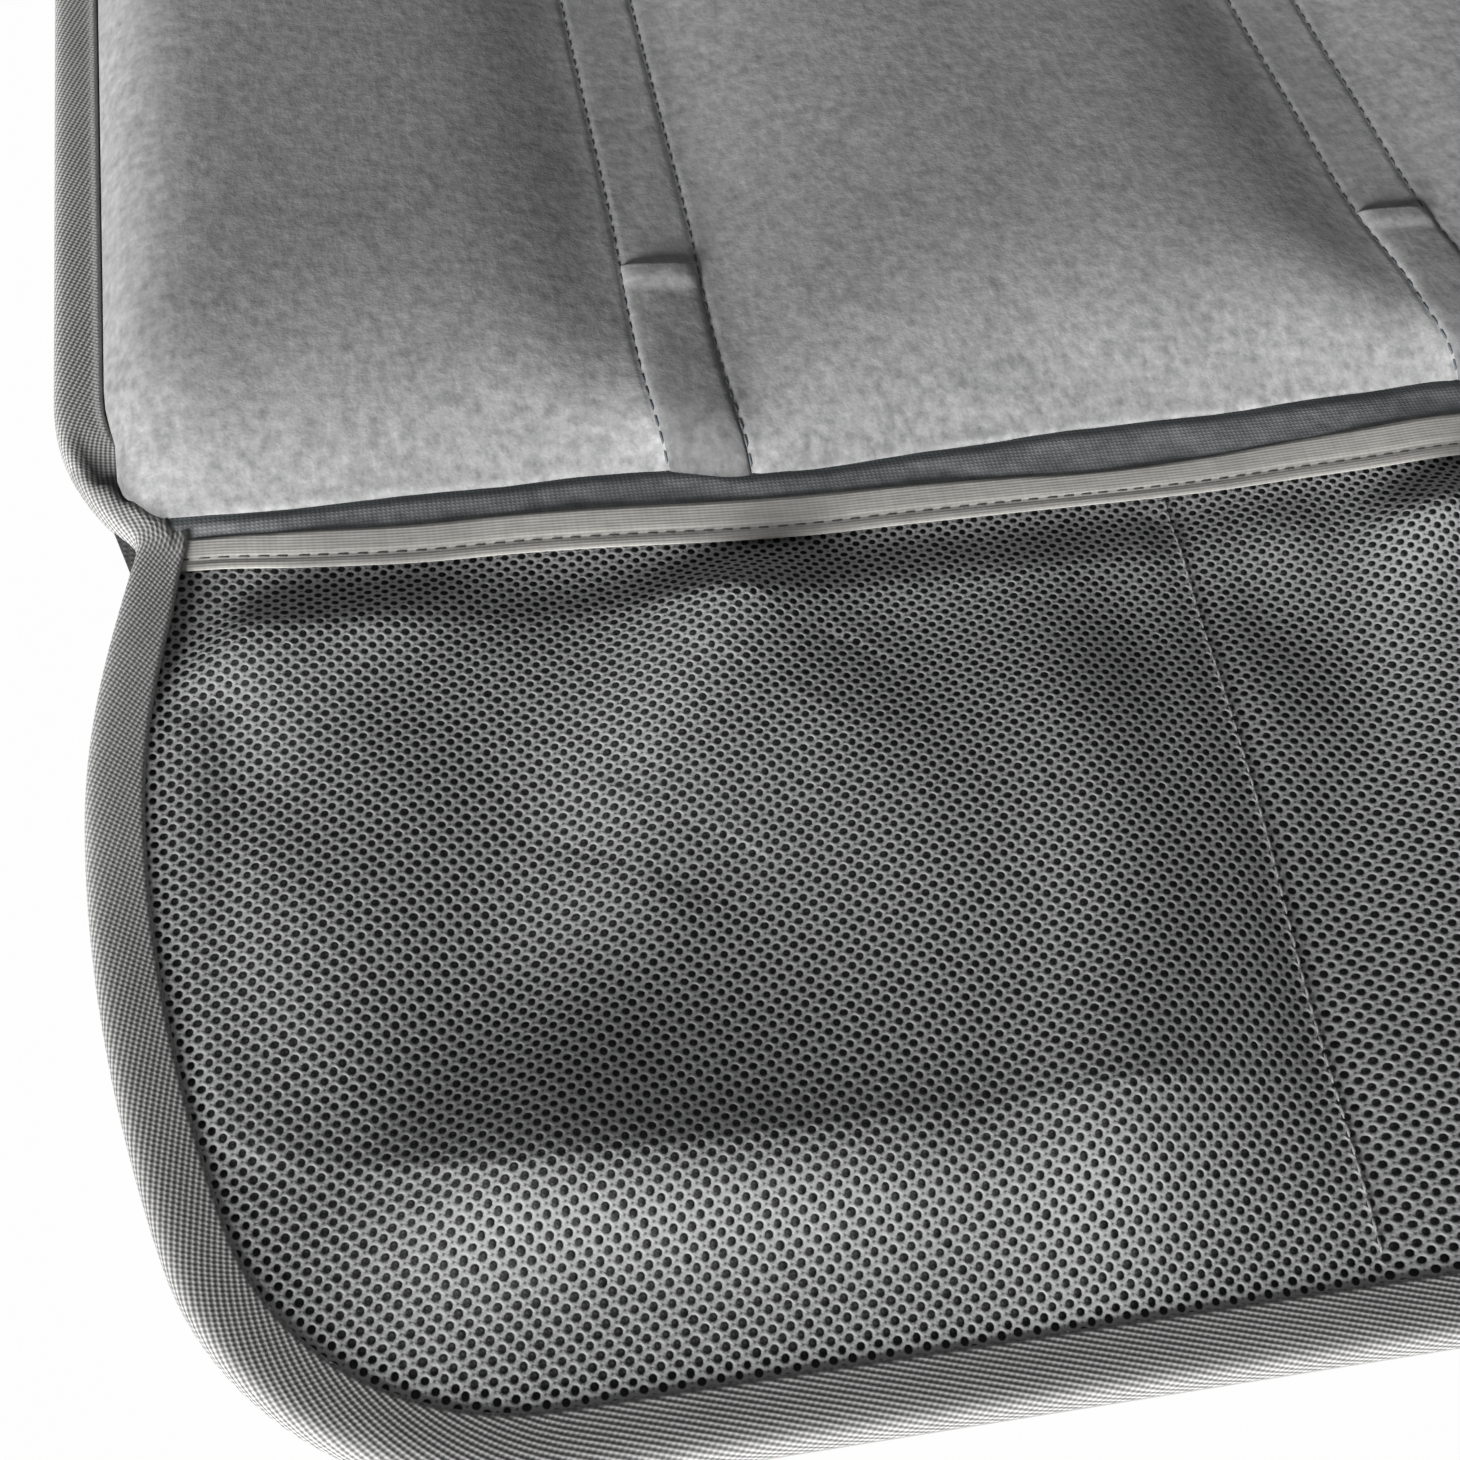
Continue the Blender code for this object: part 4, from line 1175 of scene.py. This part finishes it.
LINING_UNDER_NET = 0.00075  # from the netting down to the cloth it is laid on
LINING_THICK = 0.0009
LINING_RUN = 0.0040  # of its rise from under the ribbon


def flap_lining(material):
    """Black cloth that rises in the same folds close under the netting."""
    y = np.linspace(BOTTOM_Y + LAYER_INSET, NOTCH_Y + SEAT_FRONT - CLOTH_GAP, 76)
    x, y = outline_grid(y, 180, LAYER_INSET)
    under_net = net_height(x, y, edge_distance(x, y)) - LINING_UNDER_NET
    ribbon = NOTCH_Y + RIBBON_FRONT + curve_value(RIBBON_SHIFT, from_notch(x))
    rising = smooth((ribbon + 0.002 - y) / LINING_RUN)
    under_net = LINING_TOP + (under_net - LINING_TOP) * rising
    high = np.maximum(under_net, LINING_TOP)
    low = np.maximum(high - LINING_THICK, FELT_LOW)
    obj = closed_panel("flap_lining_cloth", x, y, high, low, material)
    describe(obj, "flap_lining", "flap_lining")


HEM_INSET = 0.0030  # from the notches to its ends
HEM_FRONT = 0.0060  # from the notch line to its front edge, under the ribbon
HEM_REAR = 0.0030  # its reach under the panel
HEM_UNDER_RIBBON = 0.0010
HEM_OVER = 0.0003  # over the ribbon's middle, where the strip comes out behind it
HEM_AT_SEAM = 0.0059
HEM_TURN = 0.0019  # strip where it dips and turns in under the panel, darkened there by painted shade
HEM_TURN_DIP = 0.0003
HEM_WAVE = 0.00020
HEM_THICK = 0.0006


def front_hem(material):
    """The dark strip between the seat's front seam and the ribbon."""
    x = np.linspace(-NOTCH_X + HEM_INSET, NOTCH_X - HEM_INSET, 330)
    share = np.linspace(0, 1, 22)
    along = from_notch(x)
    front = NOTCH_Y - HEM_FRONT + curve_value(RIBBON_SHIFT, along)
    seam = NOTCH_Y + SEAT_FRONT + curve_value(SEAM_SHIFT, along)
    rear = seam + HEM_REAR
    y = front[None, :] + (rear - front)[None, :] * share[:, None]
    x = np.repeat(x[None, :], len(share), axis=0)
    level = curve_value(RIBBON_LEVEL, along)[None, :]
    ribbon_rear = NOTCH_Y + RIBBON_FRONT + curve_value(RIBBON_SHIFT, along)
    ribbon_rear = ribbon_rear + RIBBON_WIDTH * curve_value(RIBBON_SPREAD, along)
    behind = y - ribbon_rear[None, :]
    gap = np.maximum(seam - ribbon_rear, 0.001)[None, :]
    across = clamp(behind / gap)
    wave = ripple(x * 0.6, y, 0.010, SEED + 5) * HEM_WAVE
    emerge = smooth((behind + 0.0008) / 0.0006)
    high = level - HEM_UNDER_RIBBON + (HEM_UNDER_RIBBON + HEM_OVER) * emerge
    high = high + (HEM_AT_SEAM - level) * across * emerge + wave * emerge
    # the band next to the seam, where the strip dips and where painted shade darkens it
    turn_in_painted_shade = smooth((across - 1 + HEM_TURN / gap) / (0.9 * HEM_TURN / gap))
    high = high - HEM_TURN_DIP * turn_in_painted_shade
    low = np.minimum(high - HEM_THICK, CLOTH_LOW)
    values = {"turn_in_painted_shade": turn_in_painted_shade}
    obj = closed_panel("front_hem_cloth", x, y, high, low, material, values=values)
    describe(obj, "hem_fabric", "front_hem_strip")


# Padded panels


PAD_EDGE = 0.0013  # top of the cloth's turned edge over the strips
PAD_RISE = 0.0108  # of the blocks over that edge
PAD_LIP_SHARE = 0.06  # of the rise, taken by the tight turn at the edge
PAD_LIP = 0.0015
SLOPE_POWER = 1.2
FRONT_RUN = 0.0165  # of the long slope behind the front seam, in a wide block
LEAST_FRONT_RUN = 0.3  # share of it beside a channel
MORE_FRONT_RUN = 0.9
NARROW_SHARE = 0.45
ARCH_POWER = 0.8
REAR_RUN = 0.0110
SIDE_RUN = 0.0056
PAD_EDGE_INSET = 0.0085
CORNER_INSET = 0.0041  # where the cloth overlaps the tape in the front corners
CORNER_FROM = 0.0070
CORNER_RUN = 0.0150
# reach of the painted light behind the front seam, as a share of that slope's run
PAD_PAINTED_LIGHT_RUN = 2.2
CORNER_PAINTED_SHADE_WIDTH = 0.0019  # width of the painted shade along the panel's side edge in the front corners, beside the tape
CORNER_PAINTED_SHADE = 2.2
FRAY = 0.00009
WIDE_BLOCK = 0.1170
CHANNEL_DIP = 0.0050
CHANNEL_RUN = 0.0160
SEAM_GROOVE = 0.00032
SEAM_HALF = 0.0006
PUCKER = 0.00022
PUCKER_RUN = 0.012
LUMP = 0.0005
PUCKER_REACH = 0.0080  # from a seam
PUCKER_START = 0.0020
LUMP_PITCH = 0.060
PAD_OVER_TAPE = 0.0003
PAD_OVER_RUN = 0.0030
STRAIGHT_HALF = 0.150  # columns this near the middle run straight
FRAY_RUN = 0.0012
STITCH_LIFT = 0.00002
CHANNEL_STITCH = (0.0030, 0.84, 0.00050)
SEAMS = [c + s * CHANNEL_WIDTH / 2 for c in CHANNELS for s in (-1, 1)]
# Sideways pull of the seat's left and middle channel, by distance behind the notch
LEFT_PULL = (
    (0.000, -0.0012), (0.008, -0.0020), (0.018, -0.0033), (0.060, -0.0031), (0.455, 0.0),
)
MIDDLE_PULL = (
    (0.000, -0.0040), (0.012, -0.0050), (0.020, -0.0066), (0.030, -0.0075),
    (0.046, -0.0098), (0.080, -0.0110), (0.455, 0.0),
)
PULL_FROM = 0.010
PULL_RUN = 0.105


def channel_pull(x, y):
    """How far the seat's channels lie beside their straight places."""
    total = np.zeros(np.shape(x))
    for centre, table in zip(CHANNELS, (LEFT_PULL, MIDDLE_PULL)):
        near = 1 - smooth((np.abs(x - centre) - PULL_FROM) / PULL_RUN)
        total = total + near * curve_value(table, y - NOTCH_Y)
    return total


def pad_half_width(y):
    y = y + SEAM_SHIFT[0][1] * (1 - smooth((y - NOTCH_Y - SEAT_FRONT) / SEAM_FADE))
    corner = 1 - smooth((y - NOTCH_Y - CORNER_FROM) / CORNER_RUN)
    plain = half_width_at(y, PAD_EDGE_INSET)
    return plain + (half_width_at(y, CORNER_INSET) - plain) * corner


def long_slope(inside, run):
    """0 at a panel's edge, a tight turn, then a long slope up to 1."""
    inside = np.maximum(inside, 0)
    turn = np.sqrt(clamp(1 - (1 - clamp(inside / PAD_LIP)) ** 2))
    rise = 1 - np.exp(-((inside / run) ** SLOPE_POWER))
    return PAD_LIP_SHARE * turn + (1 - PAD_LIP_SHARE) * rise


def front_run(x):
    """The slope behind the front seam is longest in the middle of each block."""
    run = np.full(np.shape(x), FRONT_RUN * LEAST_FRONT_RUN)
    edges = [-HALF_WIDTH] + SEAMS + [HALF_WIDTH]
    for low, high in zip(edges[0::2], edges[1::2]):
        share = clamp((x - low) / (high - low))
        size = NARROW_SHARE + (1 - NARROW_SHARE) * (high - low) / WIDE_BLOCK
        arch = np.sin(math.pi * share) ** ARCH_POWER * size
        run = np.maximum(run, FRONT_RUN * (LEAST_FRONT_RUN + MORE_FRONT_RUN * arch))
    return run


def panel_height(x, y, front, rear):
    """z of a panel's cloth, with y counted as it lies before the seam is pulled."""
    side = pad_half_width(y) - np.abs(x)
    share = long_slope(y - front, front_run(x)) * long_slope(side, SIDE_RUN)
    share = share * long_slope(rear - y, REAR_RUN)
    z = CLOTH_TOP + PAD_EDGE + PAD_RISE * share
    over_tape = BINDING_TOP + PAD_OVER_TAPE - CLOTH_TOP - PAD_EDGE
    z = z + over_tape * np.exp(-np.maximum(side, 0) / PAD_OVER_RUN)
    nearest = np.full(np.shape(x), 1.0)
    for seam in SEAMS:
        nearest = np.minimum(nearest, np.abs(x - seam))
        z = z - SEAM_GROOVE * np.exp(-(((x - seam) / SEAM_HALF) ** 2))
    for centre in CHANNELS:
        beside = np.maximum(np.abs(x - centre) - CHANNEL_WIDTH / 2, 0)
        dip = 1 / (1 + (beside / CHANNEL_RUN) ** 2)
        z = z - CHANNEL_DIP * dip * share
    z = z + ripple(x, y, LUMP_PITCH, SEED + 10) * LUMP * share
    near = np.minimum(np.minimum(side, y - front), nearest)
    tight = np.exp(-np.maximum(near, 0) / PUCKER_REACH) * smooth(near / PUCKER_START)
    return z + ripple(x, y, PUCKER_RUN, SEED + 30) * PUCKER * tight


SEAT_PANEL = (NOTCH_Y + SEAT_FRONT, FOLD_Y - FOLD_HALF)
BACK_PANEL = (FOLD_Y + FOLD_HALF, TOP_Y - PAD_EDGE_INSET - CLOTH_GAP)


def padded_panel(name, panel, nodes, material, step, fine):
    """The face cloth of a panel, raised over its blocks and sewn down between them."""
    front, rear = panel
    low, high = -HALF_WIDTH + PAD_EDGE_INSET, HALF_WIDTH - PAD_EDGE_INSET
    flat_x = dense(low, high, step, SEAMS + [low, high], fine)
    flat_y = dense(front, rear, step, (front, rear), fine)
    x, y = np.meshgrid(flat_x, flat_y)
    past = np.abs(x) - STRAIGHT_HALF
    reach = pad_half_width(flat_y) - STRAIGHT_HALF
    squeezed = STRAIGHT_HALF + past * reach[:, None] / (high - STRAIGHT_HALF)
    x = np.where(past > 0, np.sign(x) * squeezed, x)
    z = panel_height(x, y, *panel)
    # Painted light on the long slope behind the front seam, which faces the lamp, and
    # painted shade along the panel's side edge near the front corners, where the tape
    # beside it would shade it
    painted_light_and_shade = smooth(1.2 - (y - front) / (PAD_PAINTED_LIGHT_RUN * front_run(x)))
    tuck_and_painted_shade = (np.maximum(pad_half_width(y) - np.abs(x), 0) / CORNER_PAINTED_SHADE_WIDTH) ** 2
    in_corner = 1 - smooth((y - front - 0.004) / CORNER_RUN)
    painted_light_and_shade = painted_light_and_shade - CORNER_PAINTED_SHADE * np.exp(-tuck_and_painted_shade) * in_corner
    fray = ripple(x, y, 0.0014, SEED + 61) + ripple(x, y, 0.0045, SEED + 62)
    y = y + FRAY * fray * np.exp(-((y - front) / FRAY_RUN))
    if panel is SEAT_PANEL:
        x, y = x + channel_pull(x, y), y + seam_shift(x, y)
    under = np.full(x.shape, CLOTH_LOW)
    values = {"painted_light_and_shade": painted_light_and_shade}
    obj = closed_panel(name, x, y, z, under, material, values=values)
    describe(obj, "face_fabric", *nodes)


TAPE_THICK = 0.0003
TAPE_RISE = 0.0007  # of its folded end
TAPE_FOLD = 0.0062  # length of the folded end
TAPE_REAR = 0.0479  # its end, behind the notch line
TAPE_FRONT = 0.0020  # how far it reaches over the strip in front
TAPE_FOLD_EASE = (0.55, 0.07)  # shares of the fold over which it rises and ends
TAPE_LIFT = 0.00005
TAPE_PAINTED_SHADE = 1.2  # painted shade that darkens its front, towards the seam
TAPE_PAINTED_SHADE_RUN = 0.0260
TAPE_WAVE = 0.00012
TAPE_SINK = 0.0006  # of its underside into the panel's cloth


def channel_tapes(material):
    """The tape in each channel of the seat, its rear end folded double."""
    front, rear = NOTCH_Y + SEAT_FRONT - TAPE_FRONT, NOTCH_Y + TAPE_REAR
    flat_y = dense(front, rear, 0.0016, (rear - TAPE_FOLD, rear, front), 0.0004, 0.004)
    # painted shade, darkest at the tape's front end and fading towards its rear
    front_painted_shade = -TAPE_PAINTED_SHADE * (1 - smooth((flat_y - front) / TAPE_PAINTED_SHADE_RUN))
    for number, centre in enumerate(CHANNELS):
        across = np.linspace(-1, 1, 21) * (CHANNEL_WIDTH / 2 - 0.0002)
        x, y = np.meshgrid(centre + across, flat_y)
        held = np.maximum(y, SEAT_PANEL[0] + 0.0004)
        over = smooth((SEAT_PANEL[0] + 0.0008 - y) / TAPE_FRONT)
        ground = panel_height(x, held, *SEAT_PANEL)
        ground = ground + (CLOTH_TOP + 0.0006 - ground) * over
        end = (rear - y) / TAPE_FOLD
        rising, ending = TAPE_FOLD_EASE
        doubled = TAPE_RISE * smooth((1 - end) / rising) * smooth(end / ending)
        wave = ripple(x, y, 0.010, SEED + 50 + number) * TAPE_WAVE
        flat = 1 - np.abs(x - centre) ** 4 / (CHANNEL_WIDTH / 2) ** 4
        high = ground + TAPE_LIFT + (TAPE_THICK + wave) * flat
        high = high + doubled * (0.4 + 0.6 * flat)
        x, y = x + channel_pull(x, y), y + seam_shift(x, y)
        name = f"channel_tape_weave_{number + 1}"
        values = {"painted_light_and_shade": np.repeat(front_painted_shade[:, None], x.shape[1], axis=1)}
        obj = closed_panel(name, x, y, high, ground - TAPE_SINK, material, values=values)
        describe(obj, "channel_tape", f"channel_tape_{number + 1}")


def channel_stitches(thread):
    """Seam threads down both sides of each channel of both panels."""
    for word, panel in (("seat", SEAT_PANEL), ("back", BACK_PANEL)):
        front, rear = panel
        y = np.linspace(front + 0.0010, rear - 0.0010, 400)
        for number, seam in enumerate(SEAMS):
            x = np.full(y.shape, seam)
            line = [x, y, panel_height(x, y, *panel) + STITCH_LIFT]
            if panel is SEAT_PANEL:
                line[:2] = x + channel_pull(x, y), y + seam_shift(x, y)
            name = f"{word}_seam_{number // 2 + 1}_{('left', 'right')[number % 2]}"
            row = stitch_row(name, np.stack(line, axis=1), *CHANNEL_STITCH, thread)
            describe(row, "face_fabric")


# Strips, backing and underside


BACKING_WAVE = 0.0001
FOLD_INSET = 0.0030
FOLD_OVERLAP = 0.0015
FOLD_DIP = 0.0006
FOLD_DIP_HALF = 0.22  # of half the strip's width
FOLD_WAVE = 0.0002
GRIP_INSET = 0.0098


def mapped_sheet(name, ends, inset, levels, step, material, wave=0.0):
    """A flat cloth that fills the outline between its two ends in y."""
    y = dense(*ends, step, ends, step / 4, step * 3)
    x, y = outline_grid(y, int(2 * HALF_WIDTH / step), inset)
    bend = np.abs(ripple(x, y, 0.05, SEED + 60) * wave)
    return closed_panel(name, x, y, levels[1] - bend, levels[0] + bend, material)


def strips_and_backing(materials):
    backing = mapped_sheet(
        "backing_cloth_weave", (BOTTOM_Y + LAYER_INSET, TOP_Y - LAYER_INSET), LAYER_INSET,
        (BACKING_LOW, BACKING_HIGH), 0.018, materials["backing"], BACKING_WAVE,
    )
    describe(backing, "backing_cloth", "backing_cloth")
    for panel, low_y, high_y in (
        ("seat", NOTCH_Y + SEAT_FRONT + 0.0002, FOLD_Y - 0.0002),
        ("back", FOLD_Y + 0.0002, TOP_Y - LAYER_INSET),
    ):
        low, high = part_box(f"{panel}_base_felt")
        felt = mapped_sheet(
            f"{panel}_felt_layer", (low_y, high_y), LAYER_INSET,
            (low[2], high[2]), 0.030, materials["felt"], BACKING_WAVE,
        )
        describe(felt, "base_felt", f"{panel}_base_felt")
    reach = FOLD_HALF + FOLD_OVERLAP
    x, y = outline_grid(np.linspace(FOLD_Y - reach, FOLD_Y + reach, 16), 160, FOLD_INSET)
    middle = np.abs(y - FOLD_Y) / FOLD_HALF
    dip = np.exp(-((middle / FOLD_DIP_HALF) ** 2)) * FOLD_DIP
    high = CLOTH_TOP - dip + ripple(x, y, 0.012, SEED + 61) * FOLD_WAVE + CLOTH_GAP
    low = np.full(x.shape, CLOTH_LOW)
    strip = closed_panel("fold_strip_cloth", x, y, high, low, materials["hem"])
    describe(strip, "hem_fabric", "fold_strip")
    grip = mapped_sheet(
        "grip_sheet_studs", SEAT_PANEL, GRIP_INSET,
        (0.0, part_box("seat_grip_sheet")[1][2]), 0.018, materials["grip"],
    )
    describe(grip, "grip_sheet", "seat_grip_sheet")
    low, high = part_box("back_strap")
    x, y = np.meshgrid(np.linspace(low[0], high[0], 60), np.linspace(low[1], high[1], 8))
    low, high = np.full(x.shape, low[2]), np.full(x.shape, high[2])
    strap = closed_panel("elastic_back_strap", x, y, high, low, materials["elastic"])
    describe(strap, "elastic_strap", "back_strap")


# Stage


FLOOR_HALF = 3.0
FLOOR_CORNERS = ((-1, -1), (1, -1), (1, 1), (-1, 1))
FLOOR_DROP = 0.0004
FLOOR_GLOW = 0.97
FLOOR_PAINT = (0.80, 0.80, 0.80, 1.0)
WHITE = (1.0, 1.0, 1.0, 1.0)


def floor():
    """A plain white ground, bright only where the camera or a reflection sees it."""
    mesh = bpy.data.meshes.new("floor")
    corners = [(FLOOR_HALF * x, FLOOR_HALF * y, 0) for x, y in FLOOR_CORNERS]
    mesh.from_pydata(corners, [], [(0, 1, 2, 3)])
    obj = bpy.data.objects.new("floor", mesh)
    obj.location.z = -FLOOR_DROP
    bpy.context.scene.collection.objects.link(obj)
    material = bpy.data.materials.new("floor")
    material.use_nodes = True
    tree = material.node_tree
    tree.nodes.clear()
    path = add_node(tree, "ShaderNodeLightPath").outputs
    rays = {0: path["Is Camera Ray"], 1: path["Is Glossy Ray"]}
    seen = add_node(tree, "ShaderNodeMath", rays, operation="MAXIMUM").outputs[0]
    factors = {0: seen, 1: FLOOR_GLOW}
    share = add_node(tree, "ShaderNodeMath", factors, operation="MULTIPLY").outputs[0]
    paint = add_node(tree, "ShaderNodeBsdfDiffuse", {0: FLOOR_PAINT}).outputs[0]
    glow = add_node(tree, "ShaderNodeEmission", {0: WHITE, 1: 1.0}).outputs[0]
    mixed = add_node(tree, "ShaderNodeMixShader", {0: share, 1: paint, 2: glow})
    add_node(tree, "ShaderNodeOutputMaterial", {0: mixed.outputs[0]})
    mesh.materials.append(material)


KEY_ELEVATION = 8.0
KEY_AZIMUTH = 35.0  # from straight in front towards the left
KEY_STRENGTH = 9.8
KEY_ANGLE = 20.0
FILL_STRENGTH = 0.17


def lights():
    """One low broad lamp from the front left, and an even white fill."""
    lamp = bpy.data.lights.new("key", "SUN")
    lamp.energy = KEY_STRENGTH
    lamp.angle = math.radians(KEY_ANGLE)
    key = bpy.data.objects.new("key", lamp)
    azimuth = math.radians(KEY_AZIMUTH)
    elevation = math.radians(KEY_ELEVATION)
    level = math.cos(elevation)
    toward = Vector(
        (-math.sin(azimuth) * level, -math.cos(azimuth) * level, math.sin(elevation))
    )
    key.rotation_mode = "QUATERNION"
    key.rotation_quaternion = toward.to_track_quat("Z", "Y")
    bpy.context.scene.collection.objects.link(key)
    world = bpy.data.worlds.new("studio")
    world.use_nodes = True
    bpy.context.scene.world = world
    tree = world.node_tree
    path = add_node(tree, "ShaderNodeLightPath").outputs
    seen = {"Value": path["Is Camera Ray"], "To Min": FILL_STRENGTH, "To Max": 1.0}
    strength = add_node(tree, "ShaderNodeMapRange", seen).outputs[0]
    background = tree.nodes["Background"]
    background.inputs[0].default_value = WHITE
    tree.links.new(strength, background.inputs[1])


CAMERA_PLACE = (-0.1988, -0.6760, 0.2490)
CAMERA_RIGHT = (0.9806, -0.1832, 0.0691)
CAMERA_UP = (0.1011, 0.7761, 0.6224)
CAMERA_LENS = 54.25


def camera():
    """The photo's view of the mat's front left corner."""
    data = bpy.data.cameras.new("camera")
    data.sensor_width = 36.0
    data.lens = CAMERA_LENS
    data.clip_start = 0.01
    obj = bpy.data.objects.new("camera", data)
    right = Vector(CAMERA_RIGHT).normalized()
    up = (Vector(CAMERA_UP) - right * right.dot(Vector(CAMERA_UP))).normalized()
    back = right.cross(up)
    turn = Matrix((right, up, back)).transposed()
    obj.matrix_world = Matrix.Translation(CAMERA_PLACE) @ turn.to_4x4()
    bpy.context.scene.collection.objects.link(obj)
    bpy.context.scene.camera = obj


def main():
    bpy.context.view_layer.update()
    camera()
    lights()
    floor()
    bpy.context.scene.view_settings.view_transform = "Standard"
    face = face_material("face_fabric")
    hem = hem_material()
    tape = face_material("channel_tape", 0.86)
    lining = woven_material("flap_lining", 0.040, 0.085, 0.0006, 0.00004)
    dark_thread = thread_material("dark_thread", 0.055)
    seam_thread = thread_material("seam_thread", 0.080, -0.12)
    light_thread = thread_material("light_thread", 0.20)
    materials = {
        "backing": woven_material("backing_cloth", 0.020, 0.045, 0.0010, 0.00015),
        "felt": woven_material("base_felt", 0.22, 0.36, 0.0012, 0.0002),
        "grip": grip_material(),
        "elastic": elastic_material(),
        "hem": hem,
    }
    edge_binding(binding_material())
    flap_lining(lining)
    netting(net_material())
    pocket_ribbon(ribbon_material(), dark_thread)
    divider_stitches(light_thread)
    front_hem(hem)
    seat_nodes = ["seat_face"] + [f"seat_foam_{n}" for n in (1, 2, 3, 4)]
    back_nodes = ["back_face"] + [f"back_foam_{n}" for n in (1, 2, 3, 4)]
    padded_panel("seat_pad", SEAT_PANEL, seat_nodes, face, 0.0036, 0.0005)
    padded_panel("back_pad", BACK_PANEL, back_nodes, face, 0.0080, 0.0010)
    channel_tapes(tape)
    channel_stitches(seam_thread)
    strips_and_backing(materials)
    bpy.context.view_layer.update()


main()
